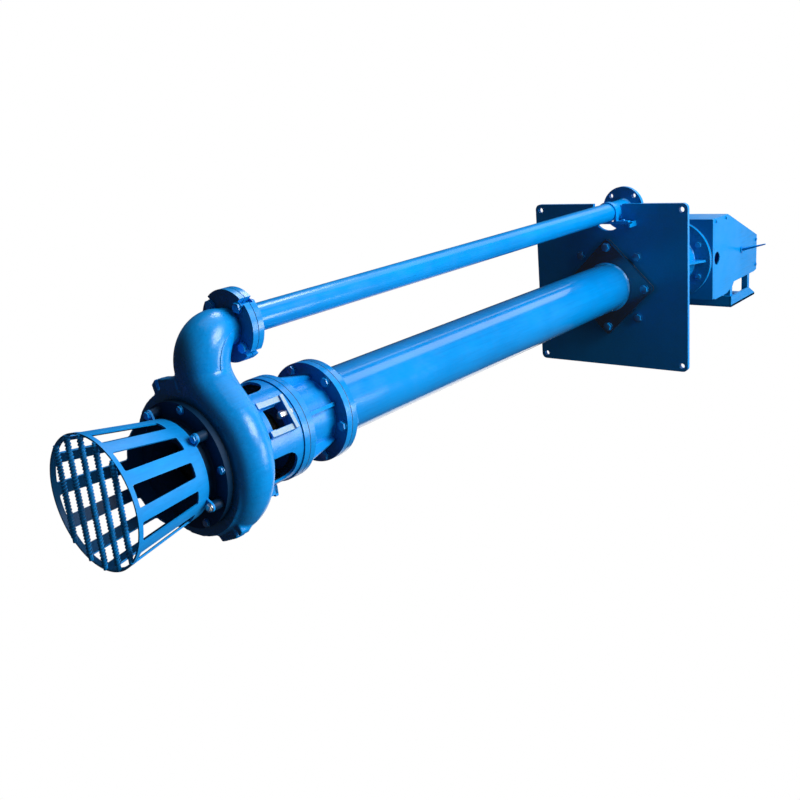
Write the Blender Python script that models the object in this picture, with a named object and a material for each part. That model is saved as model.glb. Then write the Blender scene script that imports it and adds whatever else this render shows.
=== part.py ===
"""Vertical submerged slurry pump on a long column, modelled upright in its working position.

Z is the shaft axis and points up to the drive head. The origin is the centre of the mounting
plate's underside. The discharge pipe stands on the -X side and the motor plate on the +X side.
All sizes are in metres.
"""
import math
from collections import namedtuple

import bmesh
import bpy
from mathutils import Matrix, Vector
from mathutils.geometry import interpolate_bezier

# Clearances and mesh fineness
SEAT_GAP = 0.0003
RUN_GAP = 0.0008
HOLE_PLAY = 0.0012
OVERRUN = 0.012
MERGE_DISTANCE = 0.00002
SMOOTH_ANGLE = math.radians(35)
CORNER_TURN = math.radians(11)
RIM_STEPS = 20
SHEET_STEPS = 12
HOLE_STEPS = 6
HEX_STEPS = 6

# Thin sheet gasket in each bolted joint
JOINT_SHEET = 0.0015

# Fasteners: shank radius, corner radius of the hexagon, head height and nut height
Bolt = namedtuple("Bolt", "shank corner head nut")
M20 = Bolt(0.010, 0.0173, 0.0125, 0.016)
M16 = Bolt(0.008, 0.0139, 0.010, 0.013)
M12 = Bolt(0.006, 0.0104, 0.0075, 0.010)
M8 = Bolt(0.004, 0.0075, 0.005, 0.0065)

# Mounting plate
PLATE_SIDE = 0.700
PLATE_THICK = 0.018
PLATE_CORNER = 0.022
PLATE_BORE = 0.150
PLATE_HOLE = 0.011
PLATE_HOLE_INSET = 0.025
NOTCH_HALF = 0.067
NOTCH_DEPTH = 0.112

# Column between the mounting plate and the pump end
COLUMN_LENGTH = 1.840
COLUMN_RADIUS = 0.1015
COLUMN_WALL = 0.008
COLUMN_FLANGE = 0.149
COLUMN_FLANGE_THICK = 0.020
COLUMN_BOLT_CIRCLE = 0.131
SQUARE_HALF = 0.148
SQUARE_CORNER = 0.014
SQUARE_THICK = 0.022
SQUARE_BOLT_CIRCLE = 0.172
COLUMN_BOLT_COUNT = 6
COLUMN_BOLT_ANGLE = 39.0

# Ribbed spool under the column
SPOOL_LENGTH = 0.148
SPOOL_RADIUS = 0.104
SPOOL_WALL = 0.012
SPOOL_FOOT_FLANGE = 0.149
SPOOL_RIB_THICK = 0.011
SPOOL_RIB_TOP = 0.010
SPOOL_RIB_ANGLE = 9.0

# Plate that carries the throttle bush
CARRIER_THICK = 0.020
ADAPTER_BOLT_CIRCLE = 0.129
BUSH_RADIUS = 0.044
BUSH_LENGTH = 0.075
BUSH_COLLAR = 0.056
BUSH_COLLAR_THICK = 0.008

# Windowed bracket between the casing and the carrier plate
BRACKET_LENGTH = 0.145
BRACKET_RADIUS = 0.145
BRACKET_WALL = 0.011
BRACKET_FLANGE_THICK = 0.018
BRACKET_BORE = 0.112
BRACKET_FOOT_BORE = 0.100
BRACKET_FOOT_THICK = 0.014
BRACKET_FOOT_BOLTS = 0.117
BRACKET_FOOT_ANGLE = 12.0
WINDOW_WIDTH = 0.104
WINDOW_TOP_GAP = 0.003
WINDOW_CORNER = 0.038
WINDOW_COUNT = 3

# Adjusters on the bracket
ADJUSTER_ANGLE = 58.5
ADJUSTER_WIDTH = 0.098
ADJUSTER_RAIL = 0.017
ADJUSTER_HEIGHT = 0.027
ADJUSTER_LENGTH = 0.096
ADJUSTER_BRIDGE = 0.013
ADJUSTER_TOP_GAP = 0.014
ADJUSTER_ROOT = 0.0065
ADJUSTER_NUT = 0.0225
PORT_INSET = 0.0014

# Pump casing
CASING_DEPTH = 0.125
CASING_WALL = 0.011
CASING_DRUM = 0.148
CASING_FRONT_RADIUS = 0.198
CASING_FRONT_THICK = 0.016
CASING_OFFSET_X = 0.008
CASING_OFFSET_Y = 0.014
CHAMBER_RADIUS = 0.132
CASING_BACK_WALL = 0.018
CASING_BACK_BORE = 0.088
SPIRAL_START_ANGLE = 345.0
SPIRAL_END_ANGLE = 60.0
SPIRAL_START_CENTRE = 0.140
SPIRAL_END_CENTRE = 0.172
SPIRAL_START_RADIUS = 0.044
SPIRAL_END_RADIUS = 0.062
SPIRAL_STATIONS = 14
NECK_STATIONS = 4
ELBOW_STATIONS = 6
NECK_RADIUS = 0.071
NECK_HANDLE_SHARE = 1 / 3
ELBOW_RADIUS = 0.080
OUTLET_RADIUS = 0.051
OUTLET_CLOSING_POWER = 3
SECTION_STEPS = 12
LUG_ANGLES = (151.0, 345.0)
LUG_WIDTH = 0.100
LUG_REACH = 0.030
LUG_THICK = 0.036
LUG_NOTCH = 0.010
LUG_CHAMFER = 0.009

# Discharge pipe
DISCHARGE_X = 0.321
DISCHARGE_Y = 0.026
DISCHARGE_FLANGE = 0.0965
DISCHARGE_FLANGE_THICK = 0.018
DISCHARGE_BOLT_CIRCLE = 0.0735
DISCHARGE_BOLT_COUNT = 4
DISCHARGE_RISE = 0.1686
DISCHARGE_TOP = 0.103
PIPE_RADIUS = 0.038
PIPE_WALL = 0.005
PIPE_TOP_FLANGE = 0.090
PIPE_TOP_THICK = 0.018
COLLAR_THICK = 0.006
COLLAR_HEIGHT = 0.015

# Clamp that ties the discharge pipe to the mounting plate
CLAMP_WIDTH = 0.022
CLAMP_THICK = 0.005
CLAMP_DROP = 0.050
CLAMP_FOOT = 0.052
CLAMP_REACH = 0.038
CLAMP_STEPS = 12
BRACE_THICK = 0.008
BRACE_LEG_THICK = 0.008

# Suction cover and strainer
COVER_RADIUS = 0.170
COVER_THICK = 0.018
COVER_BOSS = 0.122
COVER_BOSS_HEIGHT = 0.033
COVER_BORE = 0.060
COVER_MOUTH = 0.082
COVER_SPIGOT = 0.010
COVER_BOLT_CIRCLE = 0.157
COVER_BOSS_ROOT = 0.006
STRAINER_LENGTH = 0.237
STRAINER_NECK = 0.133
STRAINER_END = 0.1735
STRAINER_WALL = 0.005
STRAINER_BAND = 0.038
STRAINER_HOOP = 0.013
STRAINER_BAR_COUNT = 12
STRAINER_BAR_WIDTH = 0.034
STRAINER_STEPS = 24
ROD_RADIUS = 0.006
ROD_SPACING = 0.057
ROD_COUNT = 5
ROD_INSET = 0.002
LUG_TAB_RADIUS = 0.150
LUG_TAB_HALF = 0.013
LUG_TAB_THICK = 0.006
LUG_TAB_ANGLE = 48.0
LUG_TAB_COUNT = 5

# Rotor
IMPELLER_RADIUS = 0.108
IMPELLER_EYE = 0.058
IMPELLER_WIDTH = 0.078
IMPELLER_SHROUD = 0.009
IMPELLER_HUB = 0.040
IMPELLER_HUB_HEIGHT = 0.026
IMPELLER_SIDE_GAP = 0.009
VANE_COUNT = 5
VANE_THICK = 0.010
VANE_WRAP = 95.0
VANE_INNER = 0.036
VANE_TIP_INSET = 0.002
VANE_STEPS = 5
SHAFT_RADIUS = 0.032
SHAFT_NOSE = 0.024
JOURNAL_RADIUS = 0.0375
SHAFT_SHOULDER = 0.046
PULLEY_SEAT = 0.0275
SLEEVE_WALL = 0.005
SLEEVE_LENGTH = 0.120
NUT_RADIUS = 0.030
NUT_HEIGHT = 0.024
KEY_WIDTH = 0.014
KEY_HEIGHT = 0.009

# Bearing housing
HOUSING_TOP = 0.646
HOUSING_RADIUS = 0.110
HOUSING_WALL = 0.012
HOUSING_FLANGE = 0.186
HOUSING_FLANGE_THICK = 0.020
HOUSING_BASE_HALF = 0.152
HOUSING_BASE_THICK = 0.020
HOUSING_LAND = 0.016
HOLD_DOWN_CIRCLE = 0.184
HOUSING_BOLT_CIRCLE = 0.150
HOUSING_BOLT_COUNT = 6
GUSSET_HEIGHT = 0.105
GUSSET_REACH = 0.055
GUSSET_THICK = 0.010
GUSSET_COUNT = 4

# Bearings
BEARING_OUTER = 0.080
BEARING_WIDTH = 0.055
BEARING_RING = 0.011
ROLLER_COUNT = 9
ROLLER_GAP = 0.0004
CAGE_THICK = 0.004
BEARING_COVER = 0.094
BEARING_COVER_THICK = 0.012
BEARING_COVER_BOLTS = 0.0865
BEARING_COVER_SCREWS = 4
BEARING_COVER_ANGLE = 15.0
COVER_SEAL_DEPTH = 0.008
COVER_SEAL_WIDTH = 0.010
SEAL_CARRIER_RIM = 0.1045
LOWER_BEARING_INSET = 0.006
SLINGER_RADIUS = 0.070
SLINGER_THICK = 0.010
LOCKNUT_RADIUS = 0.050
LOCKNUT_THICK = 0.014

# Drive head
DRIVE_HALF = 0.190
DRIVE_CORNER = 0.0035
DRIVE_BASE_THICK = 0.0187
DRIVE_BORE = 0.100
CHEEK_THICK = 0.006
CHEEK_REAR_HEIGHT = 0.166
CHEEK_TOP_HEIGHT = 0.565
CHEEK_TOP_SETBACK = 0.160
CHEEK_SKIRT = 0.194
CHEEK_SKIRT_LIFT = 0.019
CHEEK_SKIRT_HEIGHT = 0.160
CHEEK_STEP_HEIGHT = 0.255
CHEEK_STEP = 0.154
CHEEK_BEND = 0.018
SIGHT_HOLE = 0.031
SIGHT_HOLE_HEIGHT = 0.034
WRAP_THICK = 0.004
WRAP_FOLD = 0.0016
WRAP_CLIP = 0.022
WRAP_CLIP_INSET = 0.033
WRAP_CLIP_LENGTH = 0.030
HANDLE_RADIUS = 0.008
HANDLE_TIP = 0.003
HANDLE_LENGTH = 0.118
HANDLE_RISE = 0.030
HANDLE_PAD = 0.016
HANDLE_PAD_THICK = 0.005
HANDLE_HEIGHT = 0.349
HANDLE_OFFSET = 0.011

# Belt pulley
PULLEY_RADIUS = 0.125
PULLEY_WIDTH = 0.082
PULLEY_LIFT = 0.062
PULLEY_HUB = 0.050
PULLEY_WEB = 0.024
PULLEY_RIM = 0.022
GROOVE_COUNT = 4
GROOVE_DEPTH = 0.013
GROOVE_TOP = 0.0135
GROOVE_FLOOR = 0.006
PULLEY_WASHER = 0.040
PULLEY_WASHER_THICK = 0.008

# Motor plate that slides for belt tension
TRAY_BACK = 0.277
TRAY_THICK = 0.012
TRAY_DEPTH = 0.055
TRAY_LOW = 0.221
TRAY_TOP_GAP = 0.020
TRAY_CHAMFER = 0.084
TRAY_FLANGE = 0.010
TRAY_SLOT_LENGTH = 0.050
TRAY_SLOT_RADIUS = 0.007
TRAY_SLOT_SPREAD = 0.108
LEG_SIZE = 0.030
LEG_LENGTH = 0.185
LEG_LOW = 0.245
LEG_TOP_GAP = 0.085
SOCKET_WALL = 0.006
SOCKET_LENGTH = 0.085
SOCKET_START = 0.052

FINISHES = {
    "paint": ((0.0, 0.24, 0.72), 0.32, 0.0),
    "casting": ((0.0, 0.22, 0.68), 0.40, 0.0),
    "steel": ((0.52, 0.53, 0.55), 0.35, 1.0),
    "zinc": ((0.60, 0.60, 0.58), 0.42, 1.0),
    "iron": ((0.20, 0.20, 0.21), 0.55, 0.8),
    "rubber": ((0.03, 0.03, 0.03), 0.75, 0.0),
    "bronze": ((0.55, 0.38, 0.16), 0.40, 1.0),
}

# Heights of the joints, worked out along the shaft from the mounting plate
COLUMN_FOOT = -COLUMN_LENGTH
COLUMN_HEAD = -JOINT_SHEET - 2 * SEAT_GAP
SPOOL_TOP = COLUMN_FOOT - JOINT_SHEET - 2 * SEAT_GAP
SPOOL_FOOT = SPOOL_TOP - SPOOL_LENGTH - COLUMN_FLANGE_THICK
CARRIER_TOP = SPOOL_FOOT - JOINT_SHEET - 2 * SEAT_GAP
CARRIER_FOOT = CARRIER_TOP - CARRIER_THICK
BRACKET_TOP = CARRIER_FOOT - SEAT_GAP
BRACKET_LOW = BRACKET_TOP - BRACKET_LENGTH
CASING_BACK = BRACKET_LOW - JOINT_SHEET - 2 * SEAT_GAP
CASING_FRONT = CASING_BACK - CASING_DEPTH
COVER_TOP = CASING_FRONT - JOINT_SHEET - 2 * SEAT_GAP
COVER_FACE = COVER_TOP - COVER_THICK
BOSS_FACE = COVER_FACE - COVER_BOSS_HEIGHT
STRAINER_TOP = BOSS_FACE + LUG_TAB_THICK
STRAINER_FACE = STRAINER_TOP - STRAINER_LENGTH
FLANGE_FACE = CASING_FRONT + DISCHARGE_RISE
PIPE_FOOT = FLANGE_FACE + DISCHARGE_FLANGE_THICK + JOINT_SHEET + 2 * SEAT_GAP
HOUSING_FOOT = PLATE_THICK + JOINT_SHEET + 2 * SEAT_GAP
HOUSING_FACE = HOUSING_TOP + HOUSING_FLANGE_THICK
DRIVE_FOOT = HOUSING_FACE + JOINT_SHEET + 2 * SEAT_GAP
DRIVE_FACE = DRIVE_FOOT + DRIVE_BASE_THICK
LOWER_BEARING = HOUSING_FOOT + HOUSING_BASE_THICK + LOWER_BEARING_INSET
UPPER_BEARING = HOUSING_TOP - BEARING_WIDTH
IMPELLER_BACK = CASING_BACK - CASING_BACK_WALL - IMPELLER_SIDE_GAP
IMPELLER_FRONT = IMPELLER_BACK - IMPELLER_WIDTH
PULLEY_LOW = DRIVE_FACE + PULLEY_LIFT
PULLEY_HIGH = PULLEY_LOW + PULLEY_WIDTH
CHEEK_FOOT = DRIVE_FACE + SEAT_GAP


# Turns a flat outline of (across, height) so that it is extruded away from the shaft
SIDEWAYS = Matrix(((0, 0, 1, 0), (1, 0, 0, 0), (0, 1, 0, 0), (0, 0, 0, 1)))
# Turns a flat outline of (radius, height) so that its thickness lies across the radius
RIBWAYS = Matrix(((1, 0, 0, 0), (0, 0, -1, 0), (0, 1, 0, 0), (0, 0, 0, 1)))
# Turns a flat outline of (x, height) so that it is extruded across the head, along Y
CROSSWAYS = Matrix(((1, 0, 0, 0), (0, 0, 1, 0), (0, 1, 0, 0), (0, 0, 0, 1)))


def toward(angle, radius):
    """Point at a radius from the shaft, its angle in degrees from -X towards -Y."""
    turn = math.radians(angle)
    return -radius * math.cos(turn), -radius * math.sin(turn)


def circle_places(radius, count, first):
    """Evenly spaced points on a circle round the shaft."""
    return [toward(first + 360.0 * i / count, radius) for i in range(count)]


def turned(bm, outline, steps, at=None):
    """Turn an outline of (radius, height) points about Z; it closes on itself or on the axis."""
    first = len(bm.verts)
    verts = [bm.verts.new((r, 0, z)) for r, z in outline]
    edges = []
    for here, there in zip(verts, verts[1:] + verts[:1]):
        if here.co.x > 0 or there.co.x > 0:
            edges.append(bm.edges.new((here, there)))
    bmesh.ops.spin(bm, geom=verts + edges, cent=(0, 0, 0), axis=(0, 0, 1),
                   angle=2 * math.pi, steps=steps, use_merge=True)
    finish_solid(bm, first, at)


def finish_solid(bm, first, at):
    """Move the points made since the given count to their place."""
    bm.verts.ensure_lookup_table()
    if at is not None:
        bmesh.ops.transform(bm, matrix=at, verts=bm.verts[first:])


def slab(bm, outline, low, high, at=None):
    """Extrude a closed outline of (x, y) points from one height to another."""
    first = len(bm.verts)
    face = bm.faces.new([bm.verts.new((x, y, low)) for x, y in outline])
    raised = bmesh.ops.extrude_face_region(bm, geom=[face], use_keep_orig=True)
    top = [item for item in raised["geom"] if isinstance(item, bmesh.types.BMVert)]
    bmesh.ops.translate(bm, verts=top, vec=(0, 0, high - low))
    finish_solid(bm, first, at)


def block(bm, low, high):
    """Rectangular solid between two corners."""
    outline = [(low[0], low[1]), (high[0], low[1]), (high[0], high[1]), (low[0], high[1])]
    slab(bm, outline, low[2], high[2])


def arc(centre_x, centre_y, radius, start, end, steps):
    """Points on an arc, its angles in degrees from +X towards +Y."""
    points = []
    for i in range(steps + 1):
        turn = math.radians(start + (end - start) * i / steps)
        points.append((centre_x + radius * math.cos(turn), centre_y + radius * math.sin(turn)))
    return points


def rounded_square(half, radius, steps=3):
    """Outline of a square with rounded corners, centred on the shaft."""
    inner = half - radius
    points = []
    for start, sx, sy in ((0, 1, 1), (90, -1, 1), (180, -1, -1), (270, 1, -1)):
        points += arc(sx * inner, sy * inner, radius, start, start + 90, steps)
    return points


def finish(bm, name, look, pivot=(0, 0, 0)):
    """Close a mesh, give it its own material and put its origin on its pivot."""
    bmesh.ops.remove_doubles(bm, verts=bm.verts, dist=MERGE_DISTANCE)
    bmesh.ops.recalc_face_normals(bm, faces=bm.faces)
    bmesh.ops.translate(bm, verts=bm.verts, vec=-Vector(pivot))
    mesh = bpy.data.meshes.new(name)
    bm.to_mesh(mesh)
    bm.free()
    mesh.shade_smooth()
    mesh.set_sharp_from_angle(angle=SMOOTH_ANGLE)
    obj = bpy.data.objects.new(name, mesh)
    obj.location = pivot
    bpy.context.scene.collection.objects.link(obj)
    mesh.materials.append(finish_material(name, look))
    return obj


def finish_material(name, look):
    """Principled material in the colour of the piece."""
    colour, roughness, metallic = FINISHES[look]
    material = bpy.data.materials.new(name + "_" + look)
    material.use_nodes = True
    shader = material.node_tree.nodes["Principled BSDF"]
    shader.inputs["Base Color"].default_value = (*colour, 1)
    shader.inputs["Roughness"].default_value = roughness
    shader.inputs["Metallic"].default_value = metallic
    return material


def combine(obj, bm, operation):
    """Cut a shape out of a piece, or weld it on, with an exact Boolean."""
    bmesh.ops.remove_doubles(bm, verts=bm.verts, dist=MERGE_DISTANCE)
    bmesh.ops.recalc_face_normals(bm, faces=bm.faces)
    name = obj.name + "_" + operation.lower() + str(len(obj.modifiers))
    mesh = bpy.data.meshes.new(name)
    bm.to_mesh(mesh)
    bm.free()
    tool = bpy.data.objects.new(name, mesh)
    tool.hide_render = True
    tool.display_type = "WIRE"
    bpy.context.scene.collection.objects.link(tool)
    modifier = obj.modifiers.new(name, "BOOLEAN")
    modifier.operation = operation
    modifier.object = tool
    modifier.solver = "EXACT"


def cut(obj, bm):
    """Take a shape away from a piece."""
    combine(obj, bm, "DIFFERENCE")


def weld(obj, bm):
    """Add a shape to a piece."""
    combine(obj, bm, "UNION")


def upright(x, y, z=0):
    """Place with its axis along Z."""
    return Matrix.Translation((x, y, z))


def along(direction, place):
    """Place whose own Z axis points along a direction."""
    turn = Vector(direction).to_track_quat("Z", "Y").to_matrix().to_4x4()
    return Matrix.Translation(place) @ turn


def cylinder(bm, radius, low, high, x=0, y=0, steps=RIM_STEPS):
    """Solid round bar along Z."""
    turned(bm, [(0, low), (radius, low), (radius, high), (0, high)], steps, upright(x, y))


def bolt_place(x, y, z=0):
    """Upright place of a bolt or a hole, its corners turned off the main directions."""
    return Matrix.Translation((x, y, z)) @ Matrix.Rotation(CORNER_TURN, 4, "Z")


def drill(obj, places, radius, low, high, steps=HOLE_STEPS):
    """Drill holes along Z through a piece."""
    bm = bmesh.new()
    for x, y in places:
        turned(bm, [(0, low), (radius, low), (radius, high), (0, high)], steps, bolt_place(x, y))
    cut(obj, bm)


def through_bolt(bm, size, low, high, at):
    """Bolt with its head under the low face and its nut on the high face."""
    base = low - SEAT_GAP
    top = high + SEAT_GAP
    outline = [(0, base - size.head), (size.corner, base - size.head), (size.corner, base),
               (size.shank, base), (size.shank, top), (size.corner, top),
               (size.corner, top + size.nut), (0, top + size.nut)]
    turned(bm, outline, HEX_STEPS, at)


def screw(bm, size, face, depth, at):
    """Screw with its head above a face and its shank going down into it."""
    seat = face + SEAT_GAP
    outline = [(0, face - depth), (size.shank, face - depth), (size.shank, seat),
               (size.corner, seat), (size.corner, seat + size.head), (0, seat + size.head)]
    turned(bm, outline, HEX_STEPS, at)


def head_down(x, y, z):
    """Place of a screw that goes up into a face from below."""
    return bolt_place(x, y, z) @ Matrix.Rotation(math.pi, 4, "X")


def ring(bm, inner, outer, low, high, steps):
    """Plain ring round the shaft."""
    turned(bm, [(inner, low), (outer, low), (outer, high), (inner, high)], steps)


def bolted_sheet(name, size, places, low, high, sheet):
    """Thin sheet gasket of a flange joint, carrying the joint's through bolts."""
    bm = bmesh.new()
    for x, y in places:
        through_bolt(bm, size, low, high, bolt_place(x, y))
    gasket = finish(bm, name, "zinc")
    weld(gasket, sheet)
    return gasket


def sheet_ring(inner, outer, low, at=None):
    """Ring-shaped sheet gasket that rests on a face."""
    bm = bmesh.new()
    bottom = low + SEAT_GAP
    top = bottom + JOINT_SHEET
    turned(bm, [(inner, bottom), (outer, bottom), (outer, top), (inner, top)], SHEET_STEPS, at)
    return bm


def square_sheet(half, bore, low, turn):
    """Square sheet gasket with a round opening, turned about the shaft."""
    bottom = low + SEAT_GAP
    top = bottom + JOINT_SHEET
    side = rounded_square(half, SQUARE_CORNER)
    count = len(side)
    first = math.atan2(side[0][1], side[0][0])
    turns = [first + 2 * math.pi * i / count for i in range(count)]
    hole = [(bore * math.cos(angle), bore * math.sin(angle)) for angle in turns]
    bm = bmesh.new()
    loops = [[bm.verts.new((x, y, z)) for x, y in points]
             for z in (bottom, top) for points in (side, hole)]
    for here, there in ((0, 1), (1, 3), (3, 2), (2, 0)):
        for k in range(count):
            n = (k + 1) % count
            bm.faces.new((loops[here][k], loops[here][n], loops[there][n], loops[there][k]))
    bmesh.ops.transform(bm, matrix=Matrix.Rotation(turn, 4, "Z"), verts=bm.verts)
    return bm


def sweep(bm, stations, steps, shrink=0.0):
    """Round tube of changing radius along a path of (centre, radius) stations, capped."""
    centres = [Vector(centre) for centre, radius in stations]
    side = Vector((0, 0, 1))
    rings = []
    for i, (centre, radius) in enumerate(stations):
        before = centres[max(i - 1, 0)]
        after = centres[min(i + 1, len(centres) - 1)]
        ahead = (after - before).normalized()
        side = (side - ahead * side.dot(ahead)).normalized()
        other = ahead.cross(side)
        loop = []
        for k in range(steps):
            turn = 2 * math.pi * k / steps
            reach = (side * math.cos(turn) + other * math.sin(turn)) * (radius - shrink)
            loop.append(bm.verts.new(centres[i] + reach))
        rings.append(loop)
    for here, there in zip(rings, rings[1:]):
        for k in range(steps):
            bm.faces.new((here[k], here[(k + 1) % steps], there[(k + 1) % steps], there[k]))
    bm.faces.new(rings[0])
    bm.faces.new(rings[-1])


def spiral_stations():
    """Volute, neck and elbow as one run of round sections, growing and then closing in."""
    stations = []
    for i in range(SPIRAL_STATIONS + 1):
        share = i / SPIRAL_STATIONS
        angle = SPIRAL_START_ANGLE + (SPIRAL_END_ANGLE - SPIRAL_START_ANGLE) * share
        reach = SPIRAL_START_CENTRE + (SPIRAL_END_CENTRE - SPIRAL_START_CENTRE) * share
        radius = SPIRAL_START_RADIUS + (SPIRAL_END_RADIUS - SPIRAL_START_RADIUS) * share
        x, y = toward(angle, reach)
        stations.append(((x, y, CASING_FRONT + radius), radius))
    return stations + neck_stations() + elbow_stations()


def neck_stations():
    """Neck that leaves the spiral along its tangent and turns towards the elbow."""
    x, y = toward(SPIRAL_END_ANGLE, SPIRAL_END_CENTRE)
    start = Vector((x, y, CASING_FRONT + SPIRAL_END_RADIUS))
    end = Vector((ELBOW_RADIUS - DISCHARGE_X, -DISCHARGE_Y, CASING_FRONT + NECK_RADIUS))
    turn = math.radians(SPIRAL_END_ANGLE)
    handle = (end - start).length * NECK_HANDLE_SHARE
    leave = start + Vector((-math.sin(turn), math.cos(turn), 0)) * handle
    arrive = end + Vector((1, 0, 0)) * handle
    points = interpolate_bezier(start, leave, arrive, end, NECK_STATIONS + 1)
    stations = []
    for i in range(1, NECK_STATIONS + 1):
        radius = SPIRAL_END_RADIUS + (NECK_RADIUS - SPIRAL_END_RADIUS) * i / NECK_STATIONS
        stations.append((tuple(points[i]), radius))
    return stations


def elbow_stations():
    """Elbow that turns the flow up into the discharge pipe and closes in to its bore."""
    centre_x = ELBOW_RADIUS - DISCHARGE_X
    centre_z = CASING_FRONT + NECK_RADIUS + ELBOW_RADIUS
    stations = []
    for i in range(1, ELBOW_STATIONS + 1):
        share = i / ELBOW_STATIONS
        turn = math.radians(90.0 * share)
        x = centre_x - ELBOW_RADIUS * math.sin(turn)
        z = centre_z - ELBOW_RADIUS * math.cos(turn)
        radius = NECK_RADIUS + (OUTLET_RADIUS - NECK_RADIUS) * share**OUTLET_CLOSING_POWER
        stations.append(((x, -DISCHARGE_Y, z), radius))
    end = (centre_x - ELBOW_RADIUS, -DISCHARGE_Y, FLANGE_FACE + SEAT_GAP)
    stations.append((end, OUTLET_RADIUS))
    return stations


def column_bolt_places(radius):
    return circle_places(radius, COLUMN_BOLT_COUNT, COLUMN_BOLT_ANGLE)


def discharge_bolt_places(radius):
    """Bolt places on the discharge flanges, between the main directions."""
    return [(x - DISCHARGE_X, y - DISCHARGE_Y)
            for x, y in circle_places(radius, DISCHARGE_BOLT_COUNT, 45.0)]


def lug_tab_places():
    return circle_places(LUG_TAB_RADIUS, LUG_TAB_COUNT, LUG_TAB_ANGLE)


def cover_screw_places():
    """Screw places of the suction cover, halfway between the strainer's tabs."""
    return circle_places(COVER_BOLT_CIRCLE, LUG_TAB_COUNT, LUG_TAB_ANGLE + 180.0 / LUG_TAB_COUNT)


def bracket_screw_places():
    return circle_places(BRACKET_FOOT_BOLTS, COLUMN_BOLT_COUNT, BRACKET_FOOT_ANGLE)


def head_bolt_places():
    return circle_places(SQUARE_BOLT_CIRCLE, 4, 0)


def housing_bolt_places():
    return circle_places(HOLD_DOWN_CIRCLE, 4, 45)


def drive_bolt_places():
    return circle_places(HOUSING_BOLT_CIRCLE, HOUSING_BOLT_COUNT, 0)


def build_strainer_basket():
    """Tapered basket: a neck band, an end hoop and flat bars between long slots."""
    def wall(height):
        share = (STRAINER_TOP - height) / STRAINER_LENGTH
        return STRAINER_NECK + (STRAINER_END - STRAINER_NECK) * share

    bm = bmesh.new()
    turned(bm, [(wall(STRAINER_FACE) - STRAINER_WALL, STRAINER_FACE),
                (wall(STRAINER_FACE), STRAINER_FACE), (STRAINER_NECK, STRAINER_TOP),
                (STRAINER_NECK - STRAINER_WALL, STRAINER_TOP)], STRAINER_STEPS)
    basket = finish(bm, "strainer_basket", "paint")
    slots = bmesh.new()
    slot_top = STRAINER_TOP - STRAINER_BAND
    slot_low = STRAINER_FACE + STRAINER_HOOP
    half_turn = math.pi / STRAINER_BAR_COUNT
    for i in range(STRAINER_BAR_COUNT):
        angle = 360.0 * (i + 0.5) / STRAINER_BAR_COUNT
        turn = math.radians(angle) + math.pi
        half_top = wall(slot_top) * math.sin(half_turn) - STRAINER_BAR_WIDTH / 2
        half_low = wall(slot_low) * math.sin(half_turn) - STRAINER_BAR_WIDTH / 2
        outline = [(-half_low, slot_low), (half_low, slot_low), (half_top, slot_top),
                   (-half_top, slot_top)]
        spread = Matrix.Rotation(turn, 4, "Z") @ SIDEWAYS
        slab(slots, outline, STRAINER_NECK / 2, STRAINER_END + OVERRUN, spread)
    cut(basket, slots)
    tabs = bmesh.new()
    for i in range(LUG_TAB_COUNT):
        turn = math.radians(LUG_TAB_ANGLE + 360.0 * i / LUG_TAB_COUNT) + math.pi
        outline = [(STRAINER_NECK - STRAINER_WALL / 2, -LUG_TAB_HALF), (LUG_TAB_RADIUS, -LUG_TAB_HALF)]
        outline += arc(LUG_TAB_RADIUS, 0, LUG_TAB_HALF, -60, 60, 4)
        outline += [(LUG_TAB_RADIUS, LUG_TAB_HALF), (STRAINER_NECK - STRAINER_WALL / 2, LUG_TAB_HALF)]
        slab(tabs, outline, STRAINER_TOP - LUG_TAB_THICK, STRAINER_TOP - MERGE_DISTANCE,
             Matrix.Rotation(turn, 4, "Z"))
    weld(basket, tabs)
    weld(basket, strainer_rods())
    drill(basket, lug_tab_places(), M12.shank + HOLE_PLAY, STRAINER_TOP - OVERRUN * 2,
          STRAINER_TOP + OVERRUN)


def strainer_rods():
    """Bars welded across the basket's open end, parallel to X."""
    bm = bmesh.new()
    height = STRAINER_FACE - ROD_RADIUS / 2
    for i in range(ROD_COUNT):
        y = ROD_SPACING * (i - (ROD_COUNT - 1) / 2)
        reach = math.sqrt(STRAINER_END**2 - (abs(y) + ROD_RADIUS / 2)**2) - ROD_INSET
        outline = [(0, -reach), (ROD_RADIUS, -reach), (ROD_RADIUS, reach), (0, reach)]
        turned(bm, outline, HOLE_STEPS, along((1, 0, 0), (0, y, height)))
    return bm


def build_strainer_bolts():
    depth = LUG_TAB_THICK + COVER_BOSS_HEIGHT / 2
    for i, (x, y) in enumerate(lug_tab_places()):
        bm = bmesh.new()
        screw(bm, M12, 0, depth, head_down(x, y, STRAINER_TOP - LUG_TAB_THICK))
        finish(bm, f"strainer_bolt_{i + 1}", "paint")


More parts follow.
